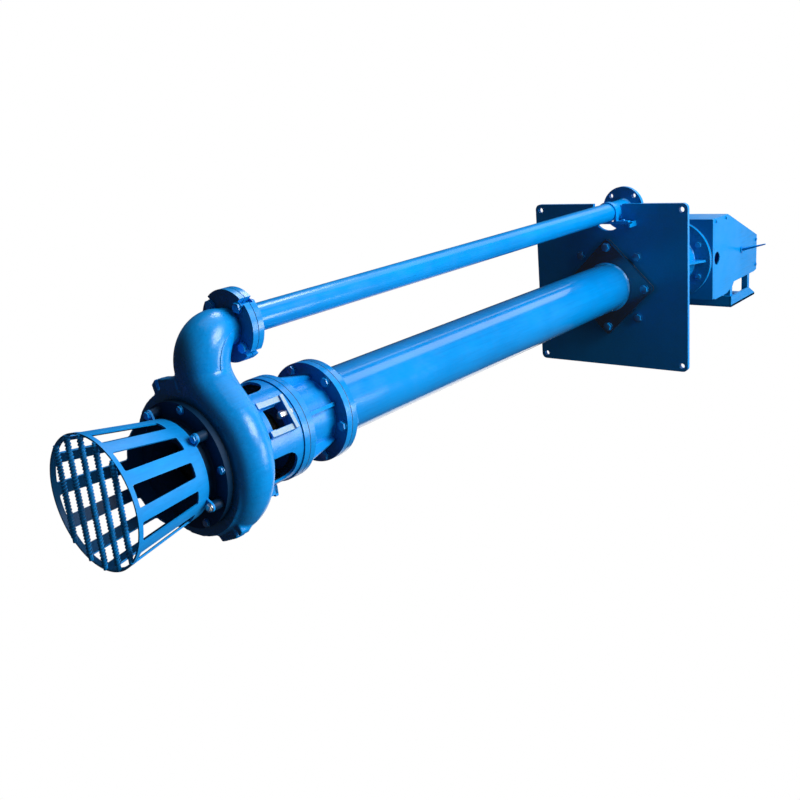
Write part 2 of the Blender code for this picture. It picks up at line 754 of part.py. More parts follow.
def build_suction_cover():
    """Cover with the suction throat, a boss for the strainer band and five bolting bosses."""
    bm = bmesh.new()
    spigot_top = COVER_TOP + COVER_SPIGOT
    spigot = CHAMBER_RADIUS - SEAT_GAP * 2
    turned(bm, [(COVER_MOUTH, BOSS_FACE), (COVER_BOSS, BOSS_FACE), (COVER_BOSS, COVER_FACE),
                (COVER_RADIUS, COVER_FACE), (COVER_RADIUS, COVER_TOP), (spigot, COVER_TOP),
                (spigot, spigot_top), (COVER_BORE, spigot_top), (COVER_BORE, COVER_FACE)],
           RIM_STEPS)
    cover = finish(bm, "suction_cover", "casting")
    bosses = bmesh.new()
    boss_face = STRAINER_TOP + SEAT_GAP
    for x, y in lug_tab_places():
        cylinder(bosses, LUG_TAB_HALF, boss_face, COVER_FACE + COVER_BOSS_ROOT, x, y, SHEET_STEPS)
    weld(cover, bosses)
    drill(cover, lug_tab_places(), M12.shank + HOLE_PLAY, boss_face - OVERRUN,
          boss_face + COVER_BOSS_HEIGHT / 2 + SEAT_GAP)
    drill(cover, cover_screw_places(), M12.shank + HOLE_PLAY, COVER_FACE - OVERRUN,
          COVER_TOP + OVERRUN)


def build_cover_gasket():
    """Full-face gasket of the suction cover, carrying its screws."""
    bm = bmesh.new()
    for x, y in cover_screw_places():
        screw(bm, M12, 0, COVER_THICK + CASING_FRONT_THICK / 2, head_down(x, y, COVER_FACE))
    sheet = sheet_ring((CHAMBER_RADIUS + COVER_BOLT_CIRCLE) / 2, COVER_RADIUS, COVER_TOP)
    weld(finish(bm, "cover_gasket_with_screws", "zinc"), sheet)


def build_volute_casing():
    """Cast casing: a growing spiral, a swan neck and an elbow that ends in the slotted flange."""
    bm = bmesh.new()
    stations = spiral_stations()
    sweep(bm, stations, SECTION_STEPS)
    casing = finish(bm, "volute_casing", "casting")
    drum = bmesh.new()
    cylinder(drum, CASING_DRUM, CASING_FRONT, CASING_BACK)
    weld(casing, drum)
    front = bmesh.new()
    cylinder(front, CASING_FRONT_RADIUS, CASING_FRONT - MERGE_DISTANCE,
             CASING_FRONT + CASING_FRONT_THICK, CASING_OFFSET_X, CASING_OFFSET_Y, RIM_STEPS)
    weld(casing, front)
    weld(casing, casing_lugs())
    flange_top = FLANGE_FACE + DISCHARGE_FLANGE_THICK
    flange = bmesh.new()
    cylinder(flange, DISCHARGE_FLANGE, FLANGE_FACE, flange_top, -DISCHARGE_X, -DISCHARGE_Y)
    weld(casing, flange)
    passage = bmesh.new()
    mouth = (-DISCHARGE_X, -DISCHARGE_Y, flange_top + OVERRUN)
    inner = stations[1:] + [(mouth, OUTLET_RADIUS)]
    sweep(passage, inner, SECTION_STEPS, CASING_WALL)
    cut(casing, passage)
    back = CASING_BACK - CASING_BACK_WALL
    chamber = bmesh.new()
    cylinder(chamber, CHAMBER_RADIUS, CASING_FRONT - OVERRUN, back)
    cut(casing, chamber)
    seat = bmesh.new()
    turned(seat, [(0, back - OVERRUN), (CASING_BACK_BORE, back - OVERRUN),
                  (CASING_BACK_BORE, CASING_BACK), (BRACKET_RADIUS + SEAT_GAP, CASING_BACK),
                  (BRACKET_RADIUS + SEAT_GAP, BRACKET_TOP), (0, BRACKET_TOP)], RIM_STEPS)
    cut(casing, seat)
    drill(casing, cover_screw_places(), M12.shank + HOLE_PLAY, CASING_FRONT - OVERRUN,
          CASING_FRONT + CASING_FRONT_THICK / 2 + SEAT_GAP)
    drill(casing, bracket_screw_places(), M12.shank + HOLE_PLAY,
          CASING_BACK - CASING_BACK_WALL / 2 - SEAT_GAP, CASING_BACK + OVERRUN)
    cut(casing, flange_slots(FLANGE_FACE, flange_top))


def casing_lugs():
    """Two bolting lugs on the rim of the casing, each split by a narrow notch."""
    bm = bmesh.new()
    for angle, low in zip(LUG_ANGLES, (CASING_FRONT + CASING_FRONT_THICK, CASING_FRONT)):
        inner = CASING_FRONT_RADIUS - LUG_REACH
        outer = CASING_FRONT_RADIUS + LUG_REACH
        half = LUG_WIDTH / 2
        notch = LUG_NOTCH / 2
        shift = half / 2
        outline = [(inner, -half), (outer - LUG_CHAMFER, -half), (outer, shift - notch),
                   (inner + LUG_REACH, shift - notch), (inner + LUG_REACH, shift + notch),
                   (outer, shift + notch), (outer - LUG_CHAMFER, half), (inner, half)]
        slab(bm, outline, low, low + LUG_THICK, Matrix.Rotation(math.radians(angle) + math.pi, 4, "Z"))
    return bm


def flange_slots(low, high):
    """Open-ended bolt slots in a discharge flange."""
    bm = bmesh.new()
    width = M16.shank + HOLE_PLAY
    for i in range(DISCHARGE_BOLT_COUNT):
        turn = math.radians(45.0 + 360.0 * i / DISCHARGE_BOLT_COUNT) + math.pi
        outline = arc(DISCHARGE_BOLT_CIRCLE, 0, width, 90, 270, 5)
        outline += [(DISCHARGE_FLANGE + OVERRUN, -width), (DISCHARGE_FLANGE + OVERRUN, width)]
        slab(bm, outline, low - OVERRUN, high + OVERRUN,
             upright(-DISCHARGE_X, -DISCHARGE_Y) @ Matrix.Rotation(turn, 4, "Z"))
    return bm


def build_impeller():
    """Closed impeller: two shrouds, backward-curved vanes and a hub bored for the shaft."""
    bm = bmesh.new()
    hub_top = IMPELLER_BACK + IMPELLER_HUB_HEIGHT
    web = IMPELLER_BACK - IMPELLER_SHROUD
    turned(bm, [(SHAFT_NOSE + SEAT_GAP, IMPELLER_FRONT + IMPELLER_HUB_HEIGHT),
                (IMPELLER_HUB - SLEEVE_WALL, IMPELLER_FRONT + IMPELLER_HUB_HEIGHT),
                (IMPELLER_HUB, web - IMPELLER_SHROUD), (IMPELLER_RADIUS, web),
                (IMPELLER_RADIUS, IMPELLER_BACK), (IMPELLER_HUB, IMPELLER_BACK),
                (IMPELLER_HUB, hub_top), (SHAFT_NOSE + SEAT_GAP, hub_top)], RIM_STEPS)
    impeller = finish(bm, "impeller", "iron")
    for i in range(VANE_COUNT):
        weld(impeller, vane(360.0 * i / VANE_COUNT))
    shroud = bmesh.new()
    turned(shroud, [(IMPELLER_EYE, IMPELLER_FRONT), (IMPELLER_RADIUS, IMPELLER_FRONT + IMPELLER_SHROUD),
                    (IMPELLER_RADIUS, IMPELLER_FRONT + 2 * IMPELLER_SHROUD),
                    (IMPELLER_EYE + IMPELLER_SHROUD, IMPELLER_FRONT + 2 * IMPELLER_SHROUD),
                    (IMPELLER_EYE, IMPELLER_FRONT + 2 * IMPELLER_SHROUD)], RIM_STEPS)
    weld(impeller, shroud)
    keyway = bmesh.new()
    block(keyway, (0, -KEY_WIDTH / 2 - SEAT_GAP, IMPELLER_FRONT),
          (SHAFT_NOSE + KEY_HEIGHT / 2 + SEAT_GAP, KEY_WIDTH / 2 + SEAT_GAP, hub_top + OVERRUN))
    cut(impeller, keyway)


def vane(first):
    """One vane between the shrouds, curving back as it goes out."""
    low = IMPELLER_FRONT + 2 * IMPELLER_SHROUD - IMPELLER_SHROUD / 2
    high = IMPELLER_BACK - IMPELLER_SHROUD / 2
    outer = IMPELLER_RADIUS - VANE_TIP_INSET
    outline = []
    for side in (1, -1):
        run = []
        for i in range(VANE_STEPS + 1):
            share = i / VANE_STEPS
            radius = VANE_INNER + (outer - VANE_INNER) * share
            turn = math.radians(first + VANE_WRAP * share) + side * VANE_THICK / (2 * radius)
            run.append((radius * math.cos(turn), radius * math.sin(turn)))
        outline += run if side > 0 else run[::-1]
    bm = bmesh.new()
    slab(bm, outline, low, high)
    return bm


def build_impeller_fixings():
    """Domed nut on the shaft's nose, and the key in the hub."""
    bm = bmesh.new()
    base = IMPELLER_FRONT + IMPELLER_HUB_HEIGHT - SEAT_GAP
    turned(bm, [(0, base - NUT_HEIGHT), (NUT_RADIUS / 2, base - NUT_HEIGHT),
                (NUT_RADIUS, base - NUT_HEIGHT / 2), (NUT_RADIUS, base), (0, base)], HEX_STEPS)
    finish(bm, "impeller_nut", "steel", (0, 0, base))
    bm = bmesh.new()
    low = IMPELLER_FRONT + IMPELLER_HUB_HEIGHT + SEAT_GAP
    block(bm, (SHAFT_NOSE - KEY_HEIGHT / 2, -KEY_WIDTH / 2, low + IMPELLER_SHROUD),
          (SHAFT_NOSE + KEY_HEIGHT / 2, KEY_WIDTH / 2, IMPELLER_BACK))
    finish(bm, "impeller_key", "steel", (0, 0, low))


def build_back_seal():
    """Seal carrier in the casing's back bore, with its lip ring round the shaft sleeve."""
    low = CASING_BACK - CASING_BACK_WALL
    outer = CASING_BACK_BORE - SEAT_GAP
    sleeve = SHAFT_RADIUS + SLEEVE_WALL
    lip = sleeve + RUN_GAP + COVER_SEAL_WIDTH
    top = BRACKET_LOW + BRACKET_FOOT_THICK + SEAT_GAP
    bm = bmesh.new()
    bore = IMPELLER_HUB + IMPELLER_SIDE_GAP
    throat = sleeve + RUN_GAP * 2
    turned(bm, [(bore, low), (outer, low), (outer, top), (SEAL_CARRIER_RIM, top),
                (SEAL_CARRIER_RIM, top + COVER_SEAL_DEPTH), (throat, top + COVER_SEAL_DEPTH),
                (throat, top), (bore, top)], RIM_STEPS)
    finish(bm, "seal_carrier", "iron")
    bm = bmesh.new()
    base = top + COVER_SEAL_DEPTH + SEAT_GAP
    ring(bm, sleeve + RUN_GAP, lip, base, base + COVER_SEAL_DEPTH, RIM_STEPS)
    finish(bm, "shaft_lip_seal", "rubber")


def build_bracket():
    """Cylindrical bracket with three round-ended windows and a bolting flange at each end."""
    bm = bmesh.new()
    inner = BRACKET_RADIUS - BRACKET_WALL
    foot_top = BRACKET_LOW + BRACKET_FOOT_THICK
    head_low = BRACKET_TOP - BRACKET_FLANGE_THICK
    turned(bm, [(BRACKET_FOOT_BORE, BRACKET_LOW), (BRACKET_RADIUS, BRACKET_LOW),
                (BRACKET_RADIUS, BRACKET_TOP), (BRACKET_BORE, BRACKET_TOP),
                (BRACKET_BORE, head_low), (inner, head_low), (inner, foot_top),
                (BRACKET_FOOT_BORE, foot_top)], RIM_STEPS)
    bracket = finish(bm, "window_bracket", "casting")
    windows = bmesh.new()
    low = foot_top + BRACKET_WALL / 2
    high = head_low - WINDOW_TOP_GAP
    half = WINDOW_WIDTH / 2
    outline = [(-half, low), (half, low)]
    outline += arc(half - WINDOW_CORNER, high - WINDOW_CORNER, WINDOW_CORNER, 0, 90, 5)
    outline += arc(WINDOW_CORNER - half, high - WINDOW_CORNER, WINDOW_CORNER, 90, 180, 5)
    for i in range(WINDOW_COUNT):
        turn = Matrix.Rotation(2 * math.pi * i / WINDOW_COUNT + math.pi, 4, "Z")
        slab(windows, outline, BRACKET_FOOT_BORE, BRACKET_RADIUS + OVERRUN, turn @ SIDEWAYS)
    cut(bracket, windows)
    drill(bracket, bracket_screw_places(), M12.shank + HOLE_PLAY, BRACKET_LOW - OVERRUN,
          foot_top + OVERRUN)
    drill(bracket, column_bolt_places(ADAPTER_BOLT_CIRCLE), M16.shank + HOLE_PLAY,
          head_low - OVERRUN, BRACKET_TOP + OVERRUN)


def build_bracket_gasket():
    """Gasket between the bracket and the casing, carrying the bracket's screws."""
    bm = bmesh.new()
    face = BRACKET_LOW + BRACKET_FOOT_THICK
    for x, y in bracket_screw_places():
        screw(bm, M12, face, BRACKET_FOOT_THICK + CASING_BACK_WALL / 2, bolt_place(x, y))
    sheet = sheet_ring(BRACKET_FOOT_BORE, BRACKET_RADIUS - BRACKET_WALL, CASING_BACK)
    weld(finish(bm, "bracket_gasket_with_screws", "zinc"), sheet)


def adjuster_turn(index):
    """Turn that carries an adjuster from +X to its place round the bracket."""
    turn = math.radians(ADJUSTER_ANGLE) + 2 * math.pi * index / WINDOW_COUNT + math.pi
    return Matrix.Rotation(turn, 4, "Z")


def build_adjusters():
    """U-shaped frames cast over the square ports, each with a jacking screw through its bridge."""
    frames = bmesh.new()
    top = BRACKET_TOP - BRACKET_FLANGE_THICK - ADJUSTER_TOP_GAP
    low = top - ADJUSTER_LENGTH
    half = ADJUSTER_WIDTH / 2
    root = BRACKET_RADIUS - ADJUSTER_ROOT
    high = BRACKET_RADIUS + ADJUSTER_HEIGHT
    bridge = top - ADJUSTER_BRIDGE
    inner = half - ADJUSTER_RAIL
    middle = BRACKET_RADIUS + ADJUSTER_HEIGHT / 2
    holes = bmesh.new()
    for i in range(WINDOW_COUNT):
        turn = adjuster_turn(i)
        lay = turn @ SIDEWAYS
        outline = [(-half, low), (-inner, low), (-inner, bridge), (inner, bridge), (inner, low),
                   (half, low), (half, top), (-half, top)]
        slab(frames, outline, root, high, lay)
        at = turn @ Matrix.Translation((middle, 0, 0))
        turned(holes, [(0, bridge - OVERRUN), (M12.shank + HOLE_PLAY, bridge - OVERRUN),
                       (M12.shank + HOLE_PLAY, top + OVERRUN), (0, top + OVERRUN)], HOLE_STEPS, at)
        screw_head = bridge - SEAT_GAP
        seat = top + SEAT_GAP
        bm = bmesh.new()
        turned(bm, [(0, screw_head - ADJUSTER_NUT), (M12.corner, screw_head - ADJUSTER_NUT),
                    (M12.corner, screw_head), (M12.shank, screw_head), (M12.shank, seat),
                    (M12.corner, seat), (M12.corner, seat + M12.head), (0, seat + M12.head)],
               HEX_STEPS, at)
        finish(bm, f"adjusting_screw_{i + 1}", "zinc")
    bracket = bpy.data.objects["window_bracket"]
    weld(bracket, frames)
    ports = bmesh.new()
    port_half = inner - PORT_INSET
    port_high = bridge - PORT_INSET
    port_low = port_high - ADJUSTER_LENGTH / 2
    outline = [(-port_half, port_low), (port_half, port_low), (port_half, port_high),
               (-port_half, port_high)]
    for i in range(WINDOW_COUNT):
        slab(ports, outline, BRACKET_FOOT_BORE, BRACKET_RADIUS + OVERRUN,
             adjuster_turn(i) @ SIDEWAYS)
    cut(bracket, ports)
    cut(bracket, holes)


def build_bush_carrier():
    """Plate between the bracket and the spool, with the throttle bush in its bore."""
    bm = bmesh.new()
    ring(bm, BUSH_RADIUS + SEAT_GAP, SPOOL_FOOT_FLANGE, CARRIER_FOOT, CARRIER_TOP, RIM_STEPS)
    carrier = finish(bm, "bush_carrier", "casting")
    drill(carrier, column_bolt_places(ADAPTER_BOLT_CIRCLE), M16.shank + HOLE_PLAY,
          CARRIER_FOOT - OVERRUN, CARRIER_TOP + OVERRUN)
    bm = bmesh.new()
    inner = SHAFT_RADIUS + RUN_GAP
    collar = CARRIER_FOOT - SEAT_GAP
    top = collar - BUSH_COLLAR_THICK + BUSH_LENGTH
    collar_low = collar - BUSH_COLLAR_THICK
    turned(bm, [(inner, collar_low), (BUSH_COLLAR, collar_low), (BUSH_COLLAR, collar),
                (BUSH_RADIUS, collar), (BUSH_RADIUS, top), (inner, top)], RIM_STEPS)
    finish(bm, "throttle_bush", "bronze")


def build_spool():
    """Ribbed spool: a short tube, two flanges and tapered ribs that stiffen the lower flange."""
    bm = bmesh.new()
    inner = SPOOL_RADIUS - SPOOL_WALL
    foot_top = SPOOL_FOOT + COLUMN_FLANGE_THICK
    head_low = SPOOL_TOP - COLUMN_FLANGE_THICK
    turned(bm, [(inner, SPOOL_FOOT), (SPOOL_FOOT_FLANGE, SPOOL_FOOT), (SPOOL_FOOT_FLANGE, foot_top),
                (SPOOL_RADIUS, foot_top), (SPOOL_RADIUS, head_low), (COLUMN_FLANGE, head_low),
                (COLUMN_FLANGE, SPOOL_TOP), (inner, SPOOL_TOP)], RIM_STEPS)
    spool = finish(bm, "ribbed_spool", "casting")
    ribs = bmesh.new()
    root = SPOOL_RADIUS - SPOOL_WALL / 2
    half = SPOOL_RIB_THICK / 2
    edge = SPOOL_FOOT_FLANGE - half
    outline = [(root, foot_top - half), (edge, foot_top - half), (edge, foot_top + SPOOL_RIB_THICK),
               (SPOOL_RADIUS + SPOOL_RIB_TOP, head_low + half), (root, head_low + half)]
    for i in range(COLUMN_BOLT_COUNT):
        turn = math.radians(SPOOL_RIB_ANGLE) + 2 * math.pi * i / COLUMN_BOLT_COUNT + math.pi
        slab(ribs, outline, -half, half, Matrix.Rotation(turn, 4, "Z") @ RIBWAYS)
    weld(spool, ribs)
    drill(spool, column_bolt_places(ADAPTER_BOLT_CIRCLE), M16.shank + HOLE_PLAY,
          SPOOL_FOOT - OVERRUN, foot_top + OVERRUN)
    drill(spool, column_bolt_places(COLUMN_BOLT_CIRCLE), M16.shank + HOLE_PLAY,
          head_low - OVERRUN, SPOOL_TOP + OVERRUN)


def build_adapter_gasket():
    """Gasket under the spool, carrying the screws that hold the carrier plate and the bracket."""
    bm = bmesh.new()
    face = SPOOL_FOOT + COLUMN_FLANGE_THICK
    depth = face - (BRACKET_TOP - BRACKET_FLANGE_THICK)
    for x, y in column_bolt_places(ADAPTER_BOLT_CIRCLE):
        screw(bm, M16, face, depth, bolt_place(x, y))
    sheet = sheet_ring(SPOOL_RADIUS, SPOOL_FOOT_FLANGE, CARRIER_TOP)
    weld(finish(bm, "adapter_gasket_with_screws", "zinc"), sheet)


def build_column():
    """Long column tube with a round flange below and a square flange set corner-on above."""
    bm = bmesh.new()
    inner = COLUMN_RADIUS - COLUMN_WALL
    flange_top = COLUMN_FOOT + COLUMN_FLANGE_THICK
    top = COLUMN_HEAD
    turned(bm, [(inner, COLUMN_FOOT), (COLUMN_FLANGE, COLUMN_FOOT), (COLUMN_FLANGE, flange_top),
                (COLUMN_RADIUS, flange_top), (COLUMN_RADIUS, top), (inner, top)], RIM_STEPS)
    column = finish(bm, "column_tube", "paint")
    square = bmesh.new()
    slab(square, rounded_square(SQUARE_HALF, SQUARE_CORNER), top - SQUARE_THICK,
         top - MERGE_DISTANCE, Matrix.Rotation(math.radians(45), 4, "Z"))
    weld(column, square)
    bore = bmesh.new()
    cylinder(bore, inner - MERGE_DISTANCE, top - SQUARE_THICK - OVERRUN, top + OVERRUN)
    cut(column, bore)
    drill(column, column_bolt_places(COLUMN_BOLT_CIRCLE), M16.shank + HOLE_PLAY,
          COLUMN_FOOT - OVERRUN, flange_top + OVERRUN)
    drill(column, head_bolt_places(), M20.shank + HOLE_PLAY, top - SQUARE_THICK - OVERRUN,
          top + OVERRUN)


def build_mounting_plate():
    """Square plate that hangs the pump over the pit, notched for the discharge pipe."""
    half = PLATE_SIDE / 2
    bottom = NOTCH_DEPTH - half
    corner = half - PLATE_CORNER
    outline = arc(corner, corner, PLATE_CORNER, 0, 90, 4)
    outline += arc(-corner, corner, PLATE_CORNER, 90, 180, 4)
    outline += [(-half, NOTCH_HALF)]
    outline += arc(bottom - NOTCH_HALF, 0, NOTCH_HALF, 90, -90, 12)
    outline += [(-half, -NOTCH_HALF)]
    outline += arc(-corner, -corner, PLATE_CORNER, 180, 270, 4)
    outline += arc(corner, -corner, PLATE_CORNER, 270, 360, 4)
    bm = bmesh.new()
    slab(bm, outline, 0, PLATE_THICK)
    plate = finish(bm, "mounting_plate", "paint")
    inset = half - PLATE_HOLE_INSET
    drill(plate, [(sx * inset, sy * inset) for sx in (-1, 1) for sy in (-1, 1)], PLATE_HOLE,
          -OVERRUN, PLATE_THICK + OVERRUN, 10)
    drill(plate, [(0, 0)], PLATE_BORE, -OVERRUN, PLATE_THICK + OVERRUN, RIM_STEPS)
    drill(plate, head_bolt_places() + housing_bolt_places(), M20.shank + HOLE_PLAY, -OVERRUN,
          PLATE_THICK + OVERRUN)


def build_bearing_housing():
    """Tubular bearing housing with a square foot, a round head flange and four gussets."""
    bm = bmesh.new()
    inner = HOUSING_RADIUS - HOUSING_WALL
    bore = BEARING_OUTER + SEAT_GAP * 2
    land = BEARING_WIDTH + HOUSING_LAND
    low_land = LOWER_BEARING + land
    high_land = HOUSING_FACE - land - HOUSING_FLANGE_THICK
    low_stop = LOWER_BEARING + BEARING_WIDTH + SEAT_GAP
    shoulder = BEARING_OUTER - BEARING_RING / 2
    turned(bm, [(bore, HOUSING_FOOT), (HOUSING_RADIUS, HOUSING_FOOT), (HOUSING_RADIUS, HOUSING_TOP),
                (HOUSING_FLANGE, HOUSING_TOP), (HOUSING_FLANGE, HOUSING_FACE), (bore, HOUSING_FACE),
                (bore, UPPER_BEARING - SEAT_GAP), (shoulder, UPPER_BEARING - SEAT_GAP),
                (shoulder, high_land), (inner, high_land), (inner, low_land), (shoulder, low_land),
                (shoulder, low_stop), (bore, low_stop)], RIM_STEPS)
    housing = finish(bm, "bearing_housing", "casting")
    base_top = HOUSING_FOOT + HOUSING_BASE_THICK
    base = bmesh.new()
    slab(base, rounded_square(HOUSING_BASE_HALF, SQUARE_CORNER), HOUSING_FOOT + MERGE_DISTANCE,
         base_top)
    weld(housing, base)
    opening = bmesh.new()
    cylinder(opening, bore, HOUSING_FOOT - OVERRUN, base_top + SEAT_GAP)
    cut(housing, opening)
    weld(housing, housing_gussets())
    drill(housing, housing_bolt_places(), M20.shank + HOLE_PLAY, HOUSING_FOOT - OVERRUN,
          base_top + OVERRUN)
    drill(housing, head_bolt_places(), M20.corner + HOLE_PLAY * 2, HOUSING_FOOT - OVERRUN,
          base_top + OVERRUN)
    drill(housing, drive_bolt_places(), M16.shank + HOLE_PLAY, HOUSING_TOP - OVERRUN,
          HOUSING_FACE + OVERRUN)


def housing_gussets():
    """Tapered gussets under the head flange and towards the corners of the foot."""
    bm = bmesh.new()
    root = HOUSING_RADIUS - HOUSING_WALL / 2
    reach = HOUSING_RADIUS + GUSSET_REACH
    top = HOUSING_TOP + GUSSET_THICK / 2
    base_top = HOUSING_FOOT + HOUSING_BASE_THICK
    foot = base_top - GUSSET_THICK / 2
    tip = HOUSING_RADIUS + GUSSET_THICK / 2
    upper = [(root, top), (root, HOUSING_TOP - GUSSET_HEIGHT), (tip, HOUSING_TOP - GUSSET_HEIGHT),
             (reach, HOUSING_TOP - GUSSET_THICK), (reach, top)]
    side = HOUSING_BASE_HALF - GUSSET_THICK
    lower = [(root, foot), (side, foot), (side, base_top + GUSSET_THICK),
             (tip, foot + GUSSET_HEIGHT), (root, foot + GUSSET_HEIGHT)]
    for outline, count in ((upper, HOUSING_BOLT_COUNT), (lower, GUSSET_COUNT)):
        for i in range(count):
            spin = Matrix.Rotation(2 * math.pi * (i + 0.5) / count, 4, "Z")
            slab(bm, outline, -GUSSET_THICK / 2, GUSSET_THICK / 2, spin @ RIBWAYS)
    return bm


def build_bearing(name, low):
    """Roller bearing: an outer and an inner ring with the rollers joined by their cage."""
    high = low + BEARING_WIDTH
    inner_race = JOURNAL_RADIUS + SEAT_GAP + BEARING_RING
    outer_race = BEARING_OUTER - BEARING_RING
    bm = bmesh.new()
    ring(bm, outer_race, BEARING_OUTER, low, high, RIM_STEPS)
    finish(bm, name + "_outer_ring", "steel")
    bm = bmesh.new()
    ring(bm, JOURNAL_RADIUS + SEAT_GAP, inner_race, low, high, RIM_STEPS)
    finish(bm, name + "_inner_ring", "steel", (0, 0, low))
    outer_flat = outer_race * math.cos(math.pi / RIM_STEPS)
    middle = (inner_race + outer_flat) / 2
    radius = (outer_flat - inner_race) / 2 - ROLLER_GAP
    bm = bmesh.new()
    for i in range(ROLLER_COUNT):
        x, y = toward(360.0 * i / ROLLER_COUNT, middle)
        cylinder(bm, radius, low + CAGE_THICK, high - CAGE_THICK, x, y, HEX_STEPS)
    cage = finish(bm, name + "_rollers", "steel", (0, 0, low))
    rim = bmesh.new()
    ring(rim, middle - CAGE_THICK / 2, middle + CAGE_THICK / 2, low + CAGE_THICK / 2,
         high - CAGE_THICK / 2, RIM_STEPS)
    bmesh.ops.translate(rim, verts=rim.verts, vec=(0, 0, -low))
    weld(cage, rim)
    cage.modifiers[-1].object.location = (0, 0, low)


def build_bearing_covers():
    """Covers over the two bearings, each with a lip seal in its bore, and their screws."""
    bore = JOURNAL_RADIUS + COVER_SEAL_WIDTH
    spigot = BEARING_OUTER
    spots = circle_places(BEARING_COVER_BOLTS, BEARING_COVER_SCREWS, BEARING_COVER_ANGLE)
    low_face = HOUSING_FOOT - SEAT_GAP
    outside = low_face - BEARING_COVER_THICK
    depth = BEARING_COVER_THICK + HOUSING_WALL
    reach = LOWER_BEARING - SEAT_GAP
    bm = bmesh.new()
    turned(bm, [(bore, outside), (BEARING_COVER, outside), (BEARING_COVER, low_face),
                (spigot, low_face), (spigot, reach), (spigot - BEARING_RING, reach),
                (spigot - BEARING_RING, low_face), (bore, low_face)], RIM_STEPS)
    cover = finish(bm, "lower_bearing_cover", "casting")
    screws = bmesh.new()
    for x, y in spots:
        screw(screws, M8, 0, depth, head_down(x, y, outside + SEAT_GAP * 2))
    weld(cover, screws)
    bm = bmesh.new()
    high_face = HOUSING_FACE + SEAT_GAP
    top = high_face + BEARING_COVER_THICK
    reach = UPPER_BEARING + BEARING_WIDTH + SEAT_GAP
    turned(bm, [(bore, high_face), (spigot - BEARING_RING, high_face),
                (spigot - BEARING_RING, reach), (spigot, reach), (spigot, high_face),
                (BEARING_COVER, high_face), (BEARING_COVER, top), (bore, top)], RIM_STEPS)
    cover = finish(bm, "upper_bearing_cover", "casting")
    screws = bmesh.new()
    for x, y in spots:
        screw(screws, M8, top - SEAT_GAP * 2, depth, bolt_place(x, y))
    weld(cover, screws)
    housing = bpy.data.objects["bearing_housing"]
    thread = HOUSING_WALL + SEAT_GAP * 2
    drill(housing, spots, M8.shank + HOLE_PLAY, HOUSING_FOOT - OVERRUN, HOUSING_FOOT + thread)
    drill(housing, spots, M8.shank + HOLE_PLAY, HOUSING_FACE - thread, HOUSING_FACE + OVERRUN)
    for name, low in (("lower_oil_seal", outside), ("upper_oil_seal", high_face)):
        bm = bmesh.new()
        ring(bm, JOURNAL_RADIUS + RUN_GAP, bore - SEAT_GAP, low, low + BEARING_COVER_THICK, RIM_STEPS)
        finish(bm, name, "rubber")


def build_shaft():
    """Stepped shaft from the impeller's nose to the pulley seat, with a keyway at each end."""
    nose_low = IMPELLER_FRONT + IMPELLER_HUB_HEIGHT
    hub_top = IMPELLER_BACK + IMPELLER_HUB_HEIGHT + SEAT_GAP
    shoulder = LOWER_BEARING + BEARING_WIDTH + SEAT_GAP
    journal_top = HOUSING_FACE + BEARING_COVER_THICK + OVERRUN
    top = PULLEY_HIGH - SEAT_GAP
    high_shoulder = UPPER_BEARING - SEAT_GAP
    journal_low = -SQUARE_THICK
    bm = bmesh.new()
    turned(bm, [(0, nose_low), (SHAFT_NOSE, nose_low), (SHAFT_NOSE, hub_top), (SHAFT_RADIUS, hub_top),
                (SHAFT_RADIUS, journal_low), (JOURNAL_RADIUS, journal_low), (JOURNAL_RADIUS, shoulder),
                (SHAFT_SHOULDER, shoulder), (SHAFT_SHOULDER, high_shoulder),
                (JOURNAL_RADIUS, high_shoulder), (JOURNAL_RADIUS, journal_top),
                (PULLEY_SEAT, journal_top), (PULLEY_SEAT, top), (0, top)], RIM_STEPS)
    shaft = finish(bm, "shaft", "steel", (0, 0, nose_low))
    keyways = bmesh.new()
    half = KEY_WIDTH / 2 + SEAT_GAP
    depth = KEY_HEIGHT / 2 + SEAT_GAP
    block(keyways, (SHAFT_NOSE - depth, -half, nose_low + IMPELLER_SHROUD),
          (SHAFT_NOSE + depth, half, IMPELLER_BACK + SEAT_GAP))
    block(keyways, (PULLEY_SEAT - depth, -half, PULLEY_LOW + PULLEY_WEB / 2),
          (PULLEY_SEAT + depth, half, PULLEY_HIGH - PULLEY_WEB / 2))
    bmesh.ops.translate(keyways, verts=keyways.verts, vec=(0, 0, -nose_low))
    cut(shaft, keyways)
    shaft.modifiers[-1].object.location = (0, 0, nose_low)


def build_shaft_fittings():
    """Sleeve under the lip seal, slinger in the column's mouth and lock nut by the bearing."""
    low = IMPELLER_BACK + IMPELLER_HUB_HEIGHT + SEAT_GAP * 2
    bm = bmesh.new()
    ring(bm, SHAFT_RADIUS + SEAT_GAP, SHAFT_RADIUS + SLEEVE_WALL, low, low + SLEEVE_LENGTH, RIM_STEPS)
    finish(bm, "shaft_sleeve", "steel", (0, 0, low))
    low = -SQUARE_THICK
    bm = bmesh.new()
    ring(bm, JOURNAL_RADIUS + SEAT_GAP, SLINGER_RADIUS, low, low + SLINGER_THICK, RIM_STEPS)
    finish(bm, "slinger", "rubber", (0, 0, low))
    low = LOWER_BEARING - LOCKNUT_THICK - SEAT_GAP
    bm = bmesh.new()
    ring(bm, JOURNAL_RADIUS + SEAT_GAP, LOCKNUT_RADIUS, low, low + LOCKNUT_THICK, RIM_STEPS)
    finish(bm, "bearing_lock_nut", "steel", (0, 0, low))


